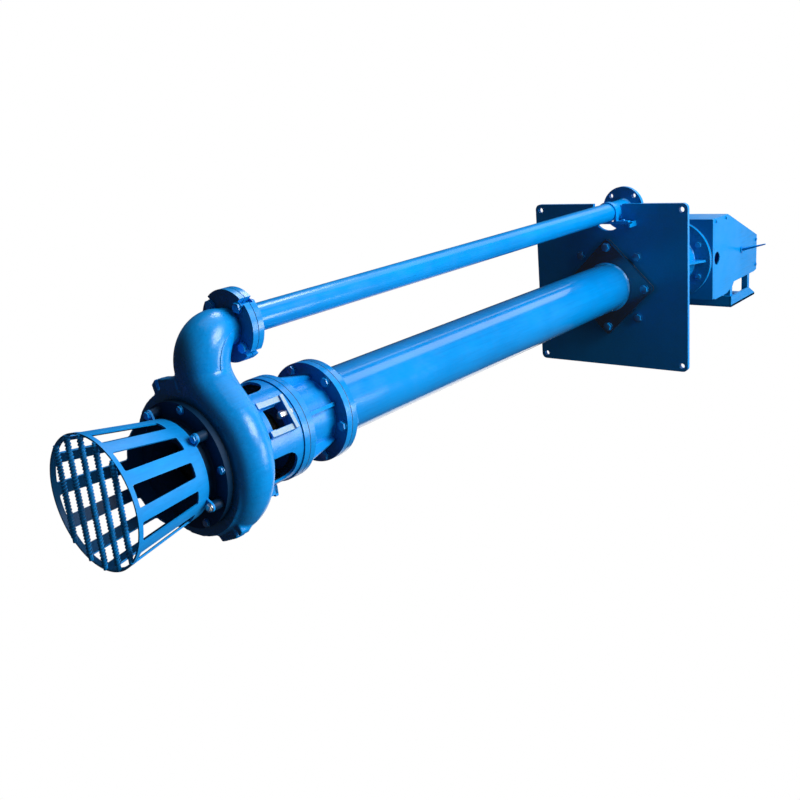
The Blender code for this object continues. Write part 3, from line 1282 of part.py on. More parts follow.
def build_drive_base():
    """Square base plate of the drive head on top of the bearing housing."""
    bm = bmesh.new()
    slab(bm, rounded_square(DRIVE_HALF, DRIVE_CORNER, 1), DRIVE_FOOT, DRIVE_FACE)
    base = finish(bm, "drive_base_plate", "paint")
    drill(base, [(0, 0)], DRIVE_BORE, DRIVE_FOOT - OVERRUN, DRIVE_FACE + OVERRUN, RIM_STEPS)
    drill(base, drive_bolt_places(), M16.shank + HOLE_PLAY, DRIVE_FOOT - OVERRUN,
          DRIVE_FACE + OVERRUN)


def cheek_outline():
    """Side outline of the drive head as (x, height) points, tapering towards its far end."""
    foot = CHEEK_FOOT
    top = DRIVE_FACE + CHEEK_TOP_HEIGHT
    return [(-DRIVE_HALF, foot), (DRIVE_HALF, foot), (CHEEK_SKIRT, foot + CHEEK_SKIRT_LIFT),
            (CHEEK_SKIRT, DRIVE_FACE + CHEEK_SKIRT_HEIGHT),
            (CHEEK_STEP + CHEEK_BEND, DRIVE_FACE + CHEEK_STEP_HEIGHT - CHEEK_BEND),
            (CHEEK_STEP, DRIVE_FACE + CHEEK_STEP_HEIGHT), (CHEEK_STEP, top - SIGHT_HOLE),
            (CHEEK_STEP - CHEEK_THICK, top), (CHEEK_TOP_SETBACK - DRIVE_HALF, top),
            (-DRIVE_HALF, DRIVE_FACE + CHEEK_REAR_HEIGHT)]


def clip_places():
    """Bolt places of the wrap sheet, as (x, height) on the cheeks."""
    inset = WRAP_THICK + WRAP_CLIP / 2
    top = DRIVE_FACE + CHEEK_TOP_HEIGHT
    low = CHEEK_FOOT + WRAP_CLIP
    knee = DRIVE_FACE + CHEEK_REAR_HEIGHT
    setback = CHEEK_TOP_SETBACK - DRIVE_HALF
    return [(inset - DRIVE_HALF, low), (inset - DRIVE_HALF, knee - WRAP_CLIP),
            (setback + WRAP_CLIP, top - inset), (CHEEK_STEP - WRAP_CLIP_INSET, top - inset)]


def build_cheeks():
    """Two side plates of the drive head, each with its round sight hole."""
    for name, side in (("front_cheek", -1), ("rear_cheek", 1)):
        outer = side * DRIVE_HALF
        inner = side * (DRIVE_HALF - CHEEK_THICK)
        bm = bmesh.new()
        slab(bm, cheek_outline(), min(outer, inner), max(outer, inner), CROSSWAYS)
        cheek = finish(bm, name, "paint")
        holes = bmesh.new()
        reach = DRIVE_HALF + OVERRUN
        depth = CHEEK_THICK + OVERRUN * 2
        at = along((0, -side, 0), (0, side * reach, DRIVE_FACE + SIGHT_HOLE_HEIGHT))
        turned(holes, [(0, 0), (SIGHT_HOLE, 0), (SIGHT_HOLE, depth), (0, depth)], 20, at)
        hole = M8.shank + HOLE_PLAY
        for x, z in clip_places():
            at = along((0, -side, 0), (x, side * reach, z))
            turned(holes, [(0, 0), (hole, 0), (hole, depth), (0, depth)], HOLE_STEPS, at)
        cut(cheek, holes)


def build_wrap():
    """Folded sheet that closes the head's rear, slope and far end, with the studs on its clips."""
    top = DRIVE_FACE + CHEEK_TOP_HEIGHT
    setback = CHEEK_TOP_SETBACK - DRIVE_HALF
    knee = DRIVE_FACE + CHEEK_REAR_HEIGHT
    rear = WRAP_THICK - DRIVE_HALF
    end = CHEEK_STEP - CHEEK_THICK * 2
    outline = [(-DRIVE_HALF, CHEEK_FOOT), (rear, CHEEK_FOOT), (rear, knee - WRAP_FOLD),
               (setback + WRAP_FOLD, top - WRAP_THICK), (end, top - WRAP_THICK), (end, top),
               (setback, top), (-DRIVE_HALF, knee)]
    edge = DRIVE_HALF - CHEEK_THICK - SEAT_GAP
    bm = bmesh.new()
    slab(bm, outline, -edge, edge, CROSSWAYS)
    wrap = finish(bm, "guard_wrap", "paint")
    clips = bmesh.new()
    half = WRAP_CLIP / 2
    for x, z in clip_places():
        for side in (-1, 1):
            ends = sorted((side * (edge - MERGE_DISTANCE), side * (edge - WRAP_CLIP_LENGTH)))
            lift = WRAP_THICK / 2
            if z > knee:
                block(clips, (x - half, ends[0], z - half), (x + half, ends[1], z + half + lift))
            else:
                block(clips, (x - half - lift, ends[0], z - half), (x + half, ends[1], z + half))
    weld(wrap, clips)
    studs = bmesh.new()
    for x, z in clip_places():
        for side in (-1, 1):
            at = along((0, side, 0), (x, side * DRIVE_HALF, z))
            screw(studs, M8, 0, CHEEK_THICK + WRAP_CLIP_LENGTH / 2, at)
    weld(wrap, studs)


def build_handle():
    """Tapered bar that stands out of the front cheek on a round pad."""
    z = DRIVE_FACE + HANDLE_HEIGHT
    foot = Vector((HANDLE_OFFSET, -DRIVE_HALF - SEAT_GAP, z))
    bm = bmesh.new()
    turned(bm, [(0, 0), (HANDLE_PAD, 0), (HANDLE_PAD, HANDLE_PAD_THICK),
                (HANDLE_RADIUS, HANDLE_PAD_THICK), (HANDLE_TIP, HANDLE_LENGTH),
                (0, HANDLE_LENGTH)], SHEET_STEPS, along((0, -1, 0), foot))
    lean = HANDLE_RISE / HANDLE_LENGTH
    for vert in bm.verts:
        vert.co.x += lean * min(vert.co.y - foot.y + HANDLE_PAD_THICK, 0)
    finish(bm, "guard_handle", "paint")


def build_pulley():
    """Grooved belt pulley with a web, a keyed hub and a washer held by a centre bolt."""
    bm = bmesh.new()
    pitch = PULLEY_WIDTH / GROOVE_COUNT
    rim = PULLEY_RADIUS - PULLEY_RIM
    web_low = (PULLEY_LOW + PULLEY_HIGH - PULLEY_WEB) / 2
    web_high = web_low + PULLEY_WEB
    floor = PULLEY_RADIUS - GROOVE_DEPTH
    bore = PULLEY_SEAT + SEAT_GAP
    outline = [(rim, PULLEY_LOW), (PULLEY_RADIUS, PULLEY_LOW)]
    for i in range(GROOVE_COUNT):
        middle = PULLEY_LOW + pitch * (i + 0.5)
        outline += [(PULLEY_RADIUS, middle - GROOVE_TOP / 2), (floor, middle - GROOVE_FLOOR / 2),
                    (floor, middle + GROOVE_FLOOR / 2), (PULLEY_RADIUS, middle + GROOVE_TOP / 2)]
    outline += [(PULLEY_RADIUS, PULLEY_HIGH), (rim, PULLEY_HIGH), (rim, web_high),
                (PULLEY_HUB, web_high), (PULLEY_HUB, PULLEY_HIGH), (bore, PULLEY_HIGH),
                (bore, PULLEY_LOW), (PULLEY_HUB, PULLEY_LOW), (PULLEY_HUB, web_low),
                (rim, web_low)]
    turned(bm, outline, RIM_STEPS)
    pulley = finish(bm, "belt_pulley", "iron", (0, 0, PULLEY_LOW))
    keyway = bmesh.new()
    half = KEY_WIDTH / 2 + SEAT_GAP
    depth = KEY_HEIGHT / 2 + SEAT_GAP
    block(keyway, (0, -half, -OVERRUN), (PULLEY_SEAT + depth, half, PULLEY_WIDTH + OVERRUN))
    cut(pulley, keyway)
    pulley.modifiers[-1].object.location = (0, 0, PULLEY_LOW)
    bm = bmesh.new()
    block(bm, (PULLEY_SEAT - KEY_HEIGHT / 2, -KEY_WIDTH / 2, PULLEY_LOW + PULLEY_WEB / 2 + SEAT_GAP),
          (PULLEY_SEAT + KEY_HEIGHT / 2, KEY_WIDTH / 2, PULLEY_HIGH - PULLEY_WEB / 2 - SEAT_GAP))
    finish(bm, "pulley_key", "steel", (0, 0, PULLEY_LOW))
    bm = bmesh.new()
    face = PULLEY_HIGH + SEAT_GAP
    seat = face + PULLEY_WASHER_THICK
    turned(bm, [(0, face), (PULLEY_WASHER, face), (PULLEY_WASHER, seat), (M16.corner, seat),
                (M16.corner, seat + M16.head), (0, seat + M16.head)], HEX_STEPS * 2)
    finish(bm, "pulley_end_bolt", "zinc", (0, 0, face))


def leg_places():
    """Centres of the square legs, as (y, height)."""
    offset = DRIVE_HALF - CHEEK_THICK - SOCKET_WALL / 2 - RUN_GAP - LEG_SIZE / 2
    heights = (DRIVE_FACE + LEG_LOW, DRIVE_FACE + CHEEK_TOP_HEIGHT - LEG_TOP_GAP)
    return [(side * offset, height) for side in (-1, 1) for height in heights]


def build_motor_plate():
    """Tray that carries the motor: a slotted plate with side flanges and a closed low end."""
    low = DRIVE_FACE + TRAY_LOW
    high = DRIVE_FACE + CHEEK_TOP_HEIGHT - TRAY_TOP_GAP
    front = TRAY_BACK - TRAY_DEPTH
    floor = TRAY_BACK - TRAY_THICK
    bm = bmesh.new()
    block(bm, (floor, -DRIVE_HALF, low), (TRAY_BACK, DRIVE_HALF, high))
    tray = finish(bm, "motor_plate", "paint")
    flanges = bmesh.new()
    outline = [(front, low), (TRAY_BACK - SEAT_GAP, low), (TRAY_BACK - SEAT_GAP, high - SEAT_GAP),
               (floor, high - SEAT_GAP), (front, high - TRAY_CHAMFER)]
    for side in (-1, 1):
        ends = sorted((side * DRIVE_HALF, side * (DRIVE_HALF - TRAY_FLANGE)))
        slab(flanges, outline, ends[0], ends[1], CROSSWAYS)
    weld(tray, flanges)
    sill = bmesh.new()
    block(sill, (front, TRAY_FLANGE / 2 - DRIVE_HALF, low),
          (TRAY_BACK - SEAT_GAP, DRIVE_HALF - TRAY_FLANGE / 2, low + TRAY_FLANGE))
    weld(tray, sill)
    slots = bmesh.new()
    middle = (low + high) / 2
    half = TRAY_SLOT_LENGTH / 2
    for sy in (-1, 1):
        for sz in (-1, 1):
            y = sy * TRAY_SLOT_SPREAD
            z = middle + sz * TRAY_SLOT_SPREAD
            outline = arc(y, z + half, TRAY_SLOT_RADIUS, 0, 180, 5)
            outline += arc(y, z - half, TRAY_SLOT_RADIUS, 180, 360, 5)
            slab(slots, outline, floor - OVERRUN, TRAY_BACK + OVERRUN, SIDEWAYS)
    cut(tray, slots)


def build_motor_legs():
    """Square legs welded on the tray and the sockets on the cheeks that they slide in."""
    floor = TRAY_BACK - TRAY_THICK
    half = LEG_SIZE / 2
    legs = bmesh.new()
    inner = half + RUN_GAP
    outer = inner + SOCKET_WALL
    end = SOCKET_START + SOCKET_LENGTH
    nose = SOCKET_START + SOCKET_LENGTH / 2
    for y, z in leg_places():
        block(legs, (floor - LEG_LENGTH, y - half, z - half),
              (floor + SEAT_GAP, y + half, z + half))
        cheek = bpy.data.objects["front_cheek" if y < 0 else "rear_cheek"]
        socket = bmesh.new()
        square_tube(socket, y, z, inner, outer, SOCKET_START, end)
        weld(cheek, socket)
        clamp = bmesh.new()
        screw(clamp, M12, 0, SOCKET_WALL / 2, along((0, 0, 1), (nose, y, z + outer)))
        weld(cheek, clamp)
    weld(bpy.data.objects["motor_plate"], legs)


def square_tube(bm, y, z, inner, outer, start, end):
    """Open square tube along X."""
    loops = []
    for x in (start, end):
        for half in (inner, outer):
            loops.append([bm.verts.new((x, y + sy * half, z + sz * half))
                          for sy, sz in ((-1, -1), (1, -1), (1, 1), (-1, 1))])
    for here, there in ((0, 1), (1, 3), (3, 2), (2, 0)):
        for k in range(4):
            n = (k + 1) % 4
            bm.faces.new((loops[here][k], loops[here][n], loops[there][n], loops[there][k]))


def build_discharge_pipe():
    """Discharge pipe with its slotted lower flange and its drilled top flange."""
    bm = bmesh.new()
    inner = PIPE_RADIUS - PIPE_WALL
    foot_top = PIPE_FOOT + DISCHARGE_FLANGE_THICK
    head_low = DISCHARGE_TOP - PIPE_TOP_THICK
    turned(bm, [(inner, PIPE_FOOT), (DISCHARGE_FLANGE, PIPE_FOOT), (DISCHARGE_FLANGE, foot_top),
                (PIPE_RADIUS + COLLAR_THICK, foot_top), (PIPE_RADIUS, foot_top + COLLAR_HEIGHT),
                (PIPE_RADIUS, head_low), (PIPE_TOP_FLANGE, head_low),
                (PIPE_TOP_FLANGE, DISCHARGE_TOP), (inner, DISCHARGE_TOP)], RIM_STEPS,
           upright(-DISCHARGE_X, -DISCHARGE_Y))
    pipe = finish(bm, "discharge_pipe", "paint")
    cut(pipe, flange_slots(PIPE_FOOT, foot_top))
    drill(pipe, discharge_bolt_places(DISCHARGE_BOLT_CIRCLE), M16.shank + HOLE_PLAY,
          head_low - OVERRUN, DISCHARGE_TOP + OVERRUN)


def build_discharge_fixings():
    """Gasket between the discharge flanges, carrying the bolts in their slots."""
    sheet = sheet_ring(PIPE_RADIUS, DISCHARGE_BOLT_CIRCLE, FLANGE_FACE + DISCHARGE_FLANGE_THICK,
                       upright(-DISCHARGE_X, -DISCHARGE_Y))
    bolted_sheet("discharge_gasket_with_bolts", M16, discharge_bolt_places(DISCHARGE_BOLT_CIRCLE),
                 FLANGE_FACE, PIPE_FOOT + DISCHARGE_FLANGE_THICK, sheet)


def build_pipe_clamp():
    """Strap round the discharge pipe, its brace under the mounting plate and two bolts."""
    middle = -CLAMP_DROP
    low = middle - CLAMP_WIDTH / 2
    high = middle + CLAMP_WIDTH / 2
    inner = PIPE_RADIUS + SEAT_GAP * 2
    outer = inner + CLAMP_THICK
    foot = CLAMP_REACH
    wing = outer + CLAMP_FOOT
    seat = foot - CLAMP_THICK
    outline = arc(0, 0, outer, 90, 270, CLAMP_STEPS)
    outline += [(seat, -outer), (seat, -wing), (foot, -wing), (foot, -inner)]
    outline += arc(0, 0, inner, 270, 90, CLAMP_STEPS)
    outline += [(foot, inner), (foot, wing), (seat, wing), (seat, outer)]
    at = upright(-DISCHARGE_X, -DISCHARGE_Y)
    bm = bmesh.new()
    slab(bm, outline, low, high, at)
    strap = finish(bm, "pipe_clamp", "paint")
    face = foot + SEAT_GAP
    back = face + BRACE_THICK
    top = -SEAT_GAP
    bar = wing + BRACE_LEG_THICK
    brace = bmesh.new()
    block(brace, (face, -bar, low), (back, bar, high))
    bmesh.ops.transform(brace, matrix=at, verts=brace.verts)
    brace_obj = finish(brace, "clamp_brace", "paint")
    legs = bmesh.new()
    for side in (-1, 1):
        ends = sorted((side * bar, side * (bar - BRACE_LEG_THICK)))
        block(legs, (face + SEAT_GAP, ends[0], low + SEAT_GAP),
              (face + CLAMP_WIDTH, ends[1], top))
    bmesh.ops.transform(legs, matrix=at, verts=legs.verts)
    weld(brace_obj, legs)
    hole = M8.shank + HOLE_PLAY
    holes = bmesh.new()
    for i, side in enumerate((1, -1)):
        place = at @ along((1, 0, 0), (0, side * (outer + CLAMP_FOOT / 2), middle))
        bolt = bmesh.new()
        through_bolt(bolt, M8, seat, back, place)
        finish(bolt, f"pipe_clamp_bolt_{i + 1}", "zinc")
        turned(holes, [(0, seat - OVERRUN), (hole, seat - OVERRUN), (hole, back + OVERRUN),
                       (0, back + OVERRUN)], HOLE_STEPS, place)
    cut(brace_obj, holes.copy())
    cut(strap, holes)


def build_joint_gaskets():
    """Gaskets and bolts of the column, the square flange, the housing and the drive base."""
    bolted_sheet("column_gasket_with_bolts", M16, column_bolt_places(COLUMN_BOLT_CIRCLE),
                 SPOOL_TOP - COLUMN_FLANGE_THICK, COLUMN_FOOT + COLUMN_FLANGE_THICK,
                 sheet_ring(COLUMN_RADIUS - COLUMN_WALL, COLUMN_FLANGE, SPOOL_TOP))
    bolted_sheet("head_gasket_with_bolts", M20, head_bolt_places(),
                 COLUMN_HEAD - SQUARE_THICK, PLATE_THICK,
                 square_sheet(SQUARE_HALF, COLUMN_RADIUS, COLUMN_HEAD, math.radians(45)))
    bolted_sheet("housing_gasket_with_bolts", M20, housing_bolt_places(),
                 0, HOUSING_FOOT + HOUSING_BASE_THICK,
                 square_sheet(HOUSING_BASE_HALF, BEARING_COVER + COVER_SEAL_WIDTH, PLATE_THICK, 0))
    bolted_sheet("drive_gasket_with_bolts", M16, drive_bolt_places(), HOUSING_TOP, DRIVE_FACE,
                 sheet_ring(DRIVE_BORE, HOUSING_FLANGE, HOUSING_FACE))


def build_pump_end():
    build_strainer_basket()
    build_strainer_bolts()
    build_suction_cover()
    build_cover_gasket()
    build_volute_casing()
    build_impeller()
    build_impeller_fixings()
    build_back_seal()
    build_bracket()
    build_bracket_gasket()
    build_adjusters()
    build_bush_carrier()
    build_spool()
    build_adapter_gasket()


def build_column_and_plate():
    build_column()
    build_mounting_plate()
    build_discharge_pipe()
    build_discharge_fixings()
    build_pipe_clamp()
    build_joint_gaskets()


def build_drive_end():
    build_bearing_housing()
    build_bearing("lower_bearing", LOWER_BEARING)
    build_bearing("upper_bearing", UPPER_BEARING)
    build_bearing_covers()
    build_shaft()
    build_shaft_fittings()
    build_drive_base()
    build_cheeks()
    build_wrap()
    build_handle()
    build_pulley()
    build_motor_plate()
    build_motor_legs()


def main():
    for obj in list(bpy.data.objects):
        bpy.data.objects.remove(obj, do_unlink=True)
    build_pump_end()
    build_column_and_plate()
    build_drive_end()


main()
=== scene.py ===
# %% [markdown]
# # A submerged slurry pump on its long column
# The pump hangs in a pit from a square plate. The motor's belt drives a pulley above the plate,
# a long shaft runs down through the column, and the impeller turns in the casing at the bottom.
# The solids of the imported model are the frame: each piece made here stands for one of them,
# at the same place, with the roundness, edges and finish that the solids leave out.

# %% Load the frame
import math

import bmesh
import bpy
from mathutils import Matrix, Vector
from mathutils.geometry import interpolate_bezier


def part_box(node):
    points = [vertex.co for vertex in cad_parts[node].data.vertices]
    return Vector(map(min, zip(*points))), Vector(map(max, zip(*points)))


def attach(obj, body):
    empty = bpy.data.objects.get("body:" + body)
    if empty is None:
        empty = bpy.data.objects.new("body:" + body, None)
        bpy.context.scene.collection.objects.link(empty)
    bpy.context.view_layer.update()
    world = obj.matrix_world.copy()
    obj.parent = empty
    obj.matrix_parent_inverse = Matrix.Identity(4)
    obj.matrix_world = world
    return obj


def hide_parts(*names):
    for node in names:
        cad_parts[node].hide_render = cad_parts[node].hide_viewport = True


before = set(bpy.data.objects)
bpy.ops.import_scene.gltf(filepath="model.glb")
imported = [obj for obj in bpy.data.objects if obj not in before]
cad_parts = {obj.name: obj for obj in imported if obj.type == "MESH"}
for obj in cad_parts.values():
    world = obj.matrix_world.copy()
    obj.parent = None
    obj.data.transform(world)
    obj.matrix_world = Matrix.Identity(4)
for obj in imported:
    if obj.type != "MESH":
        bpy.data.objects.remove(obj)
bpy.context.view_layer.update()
bpy.ops.object.select_all(action="DESELECT")


def ends(node):
    """Lowest and highest height of a node."""
    low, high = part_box(node)
    return low[2], high[2]


# %% [markdown]
# ## Camera
# The photograph was taken from below the strainer, looking along the column. The camera was
# found from the square plate, the round flanges and the straight tubes, so it is typed in as a
# place, the direction to its right and the direction ahead. Blender's lens is in millimetres on
# a sensor that is 36 mm wide.

# %% Camera
CAMERA_PLACE = Vector((-0.8161, -1.9087, -3.6903))
CAMERA_RIGHT = Vector((0.089873, -0.775009, 0.625527))
CAMERA_AHEAD = Vector((0.293767, 0.620754, 0.726887))
CAMERA_LENS = 42.914
CAMERA_SHIFT = 0.0017
CAMERA_REACH = 50.0

camera = bpy.data.objects.new("photo_camera", bpy.data.cameras.new("photo_camera"))
camera.data.lens = CAMERA_LENS
camera.data.clip_end = CAMERA_REACH
camera.data.shift_y = CAMERA_SHIFT
camera_up = CAMERA_RIGHT.cross(CAMERA_AHEAD)
turned_to = Matrix((CAMERA_RIGHT, camera_up, -CAMERA_AHEAD)).transposed().to_quaternion()
camera.matrix_world = Matrix.LocRotScale(CAMERA_PLACE, turned_to, None)
bpy.context.scene.collection.objects.link(camera)
bpy.context.scene.camera = camera
print("camera", camera.matrix_world.translation, "lens", camera.data.lens)

# %% [markdown]
# ## Sums on shader sockets
# A material is a small program of nodes. Wiring them by hand takes many clicks for one line of
# arithmetic, so a small class wraps a socket: adding or multiplying two of them adds the Math
# node. Every other node comes from one method, which sets its options before its sockets. The
# Mix node carries sockets for numbers, vectors and colours at once, so the colour ones are
# named here by their places.

# %% Sockets that do sums
MIX_SOCKETS, MIX_RESULT = (0, 6, 7), 2
EDGE_OPEN, EDGE_FULL = 0.99, 0.80


class Wire:
    """An output socket that sums can be written with."""

    def __init__(self, recipe, socket):
        self.recipe = recipe
        self.socket = socket

    def math(self, operation, first, second):
        node = self.recipe.tree.nodes.new("ShaderNodeMath")
        node.operation = operation
        self.recipe.plug(node.inputs[0], first)
        self.recipe.plug(node.inputs[1], second)
        return Wire(self.recipe, node.outputs[0])

    def __add__(self, other):
        return self.math("ADD", self, other)

    def __radd__(self, other):
        return self.math("ADD", other, self)

    def __sub__(self, other):
        return self.math("SUBTRACT", self, other)

    def __mul__(self, other):
        return self.math("MULTIPLY", self, other)

    def most(self, other):
        return self.math("MAXIMUM", self, other)


class Recipe:
    """The node tree of one finish."""

    def __init__(self, tree):
        self.tree = tree
        self.tree.nodes.clear()

    def plug(self, entry, value):
        if isinstance(value, Wire):
            self.tree.links.new(value.socket, entry)
        else:
            entry.default_value = value

    def node(self, kind, settings, sockets, output=0):
        """Any node: its settings first, then values or wires for its sockets."""
        node = self.tree.nodes.new(kind)
        for name, value in settings.items():
            setattr(node, name, value)
        for name, value in sockets.items():
            self.plug(node.inputs[name], value)
        return Wire(self, node.outputs[output]) if node.outputs else None

    def place(self):
        """Place on the piece, in metres."""
        return self.node("ShaderNodeTexCoord", {}, {}, "Object")

    def stretched(self, scale):
        return self.node("ShaderNodeMapping", {}, {"Vector": self.place(), "Scale": scale})

    def noise(self, scale, detail=3.0, rough=0.5, where=None):
        where = where or self.place()
        sockets = {"Vector": where, "Scale": scale, "Detail": detail, "Roughness": rough}
        return self.node("ShaderNodeTexNoise", {}, sockets, 0)

    def ramp(self, value, low, high, start=0.0, end=1.0):
        """A value eased from start to end while it goes from low to high."""
        settings = {"interpolation_type": "SMOOTHSTEP"}
        sockets = {"Value": value, "From Min": low, "From Max": high, "To Min": start, "To Max": end}
        return self.node("ShaderNodeMapRange", settings, sockets, 0)

    def blend(self, share, first, second):
        """One colour turning into another."""
        node = self.tree.nodes.new("ShaderNodeMix")
        node.data_type = "RGBA"
        for socket, value in zip(MIX_SOCKETS, (share, first, second)):
            self.plug(node.inputs[socket], value)
        return Wire(self, node.outputs[MIX_RESULT])

    def edges(self, width):
        """Near 1 along outer and inner edges, and 0 on open faces."""
        bent = self.node("ShaderNodeBevel", {"samples": 4}, {"Radius": width})
        plain = self.node("ShaderNodeNewGeometry", {}, {}, "Normal")
        return self.ramp(self.vector("DOT_PRODUCT", bent, plain, "Value"), EDGE_OPEN, EDGE_FULL)

    def vector(self, operation, first, second=(0.0, 0.0, 0.0), output="Vector"):
        node = self.tree.nodes.new("ShaderNodeVectorMath")
        node.operation = operation
        self.plug(node.inputs[0], first)
        self.plug(node.inputs[1], second)
        return Wire(self, node.outputs[output])

    def facing_up(self):
        plain = self.node("ShaderNodeNewGeometry", {}, {}, "Normal")
        return self.node("ShaderNodeSeparateXYZ", {}, {"Vector": plain}, "Z")


def finish_recipe(name):
    """A new material and its empty recipe."""
    material = bpy.data.materials.new(name)
    material.use_nodes = True
    return material, Recipe(material.node_tree)


def surface(recipe, sockets):
    """The Principled shader of a finish and its output."""
    shader = recipe.node("ShaderNodeBsdfPrincipled", {}, sockets)
    recipe.node("ShaderNodeOutputMaterial", {}, {"Surface": shader})


def bump(recipe, height, strength, distance):
    sockets = {"Height": height, "Strength": strength, "Distance": distance}
    return recipe.node("ShaderNodeBump", {}, sockets)


# %% [markdown]
# ## Blue paint
# Everything outside is sprayed with the same blue. On tubes and sheets it is glossy with a
# faint orange peel; on castings the sand's grain and pits show through. The colour drifts a
# little over a metre, edges are rubbed pale where slings and spanners touched them, and a thin
# dust settles on what faces up. Faces that look down are darkened as painted shade. One function
# makes every kind, and what differs is handed to it: the skin below, how much painted shade the
# undersides and the inner faces get, where the paint turns near black or black as painted shade,
# and where a ground surface shows.

# %% Colours of the paint, of what shows through it, and of painted shade
PAINT_BLUE = (0.0, 0.32, 0.88, 1.0)
PAINT_DEEP = (0.0, 0.25, 0.72, 1.0)
PAINT_RUBBED = (0.06, 0.44, 0.88, 1.0)
# Painted shade: the deep blue that undersides and the basket's inner faces are darkened towards
PAINTED_SHADE_BLUE = (0.0, 0.075, 0.21, 1.0)
DUST = (0.05, 0.32, 0.60, 1.0)
# Painted shade: near black for the cover and the column's square flange
PAINTED_SHADE_NAVY = (0.002, 0.030, 0.085, 1.0)
# Painted shade: black for the bracket's inner wall
PAINTED_SHADE_BLACK = (0.010, 0.012, 0.016, 1.0)
GROUND = (0.40, 0.54, 0.62, 1.0)

STEEL_SKIN = {"grain_scale": 260.0, "grain_depth": 0.14, "pit_depth": 0.0}
BASKET_SKIN = {"grain_scale": 240.0, "grain_depth": 0.30, "pit_depth": 0.10}
CAST_SKIN = {"grain_scale": 190.0, "grain_depth": 0.60, "pit_depth": 0.35}

FACES_UP, FACES_DOWN = (0.25, 1.0), (-0.66, -0.97)
FACES_OUT, FACES_IN = (0.80, 0.95), (-0.2, -0.7)
RUB_WIDTH, STREAKS, LEVEL = 0.0028, (14.0, 14.0, 0.6), (1.0, 1.0, 0.0)
DARK_SHADE_FADE, INSIDE_SHADE_FADE = 0.0005, 0.002


# %% One recipe for every kind of blue paint
def blue_paint(name, gloss, grain_scale, grain_depth, pit_depth, shade=0.0, shine=0.5, coat=0.0,
               inner_shade=0.0, dark_shade_above=None, dark_shade_inside=0.0, ground=False):
    material, recipe = finish_recipe(name)
    drift = recipe.noise(1.6, 4.0, 0.6)
    cloud = recipe.noise(14.0, 5.0, 0.6)
    grain = recipe.noise(grain_scale, 3.0, 0.6)
    streak = recipe.noise(9.0, 4.0, 0.7, recipe.stretched(STREAKS))
    rubbed = recipe.edges(RUB_WIDTH) * recipe.ramp(recipe.noise(55.0, 4.0, 0.7), 0.42, 0.62)
    dusty = recipe.ramp(recipe.facing_up(), *FACES_UP) * recipe.ramp(cloud, 0.35, 0.75) * 0.20
    body = recipe.blend(recipe.ramp(drift * 0.6 + streak * 0.4, 0.38, 0.64), PAINT_BLUE, PAINT_DEEP)
    body = recipe.blend(dusty, body, DUST)
    body = recipe.blend(rubbed * 0.55, body, PAINT_RUBBED)
    # Painted shade: faces that look down are darkened towards a deep blue, by the shade share
    body = recipe.blend(recipe.ramp(recipe.facing_up(), *FACES_DOWN) * shade, body, PAINTED_SHADE_BLUE)
    off_shaft = recipe.vector("MULTIPLY", recipe.place(), LEVEL)
    # Painted shade: above a given height the whole colour turns near black
    if dark_shade_above is not None:
        height = recipe.node("ShaderNodeSeparateXYZ", {}, {"Vector": recipe.place()}, "Z")
        dark_above_mask = recipe.ramp(height, dark_shade_above, dark_shade_above + DARK_SHADE_FADE)
        body = recipe.blend(dark_above_mask, body, PAINTED_SHADE_NAVY)
    # Painted shade: inside a given distance from the shaft the colour turns black
    if dark_shade_inside:
        reach = recipe.vector("LENGTH", off_shaft, output="Value")
        body = recipe.blend(recipe.ramp(reach, dark_shade_inside, dark_shade_inside - INSIDE_SHADE_FADE), body, PAINTED_SHADE_BLACK)
    # Painted shade: faces that look towards the shaft are darkened
    if inner_shade:
        inner_face = recipe.ramp(outward(recipe, off_shaft), *FACES_IN)
        body = recipe.blend(inner_face * inner_shade, body, PAINTED_SHADE_BLUE)
    if ground:
        bared = recipe.ramp(outward(recipe, off_shaft), *FACES_OUT)
        body = recipe.blend(bared * recipe.ramp(recipe.noise(420.0, 4.0, 0.7), 0.30, 0.52), body, GROUND)
    rough = gloss + recipe.ramp(cloud, 0.3, 0.7) * 0.10 + rubbed * 0.18 + dusty * 0.5
    pits = recipe.node("ShaderNodeTexVoronoi", {"feature": "SMOOTH_F1"},
                       {"Vector": recipe.place(), "Scale": grain_scale * 0.45})
    height = grain * grain_depth + recipe.ramp(pits, 0.0, 0.35) * pit_depth + cloud * 0.5
    surface(recipe, {"Base Color": body, "Roughness": rough, "Specular IOR Level": shine,
                     "Coat Weight": coat, "Normal": bump(recipe, height, 0.35, 0.0012)})
    return material


def outward(recipe, off_shaft):
    """1 on faces that look away from the shaft, and -1 on faces that look at it."""
    plain = recipe.node("ShaderNodeNewGeometry", {}, {}, "Normal")
    return recipe.vector("DOT_PRODUCT", recipe.vector("NORMALIZE", off_shaft), plain, "Value")


# %% The paint of each group of pieces
# Painted shade: the cover is painted near black from this height up.
COVER_SHADE_FROM, BRACKET_SHADE_WITHIN = -3.0, 0.1385
# Painted shade: the shade share on these paints darkens the faces that look down.
sheet_paint = blue_paint("blue_paint_on_steel", 0.12, **STEEL_SKIN)
plate_paint = blue_paint("blue_paint_on_plate", 0.14, **STEEL_SKIN, shade=0.45)
pipe_paint = blue_paint("blue_paint_on_pipe", 0.16, **STEEL_SKIN, shade=0.75, shine=0.6)
flange_paint = blue_paint("blue_paint_on_flanges", 0.14, **STEEL_SKIN, shade=0.75, shine=1.0, coat=1.0)
head_paint = blue_paint("blue_paint_on_drive_head", 0.30, **STEEL_SKIN, shade=0.7, shine=0.15)
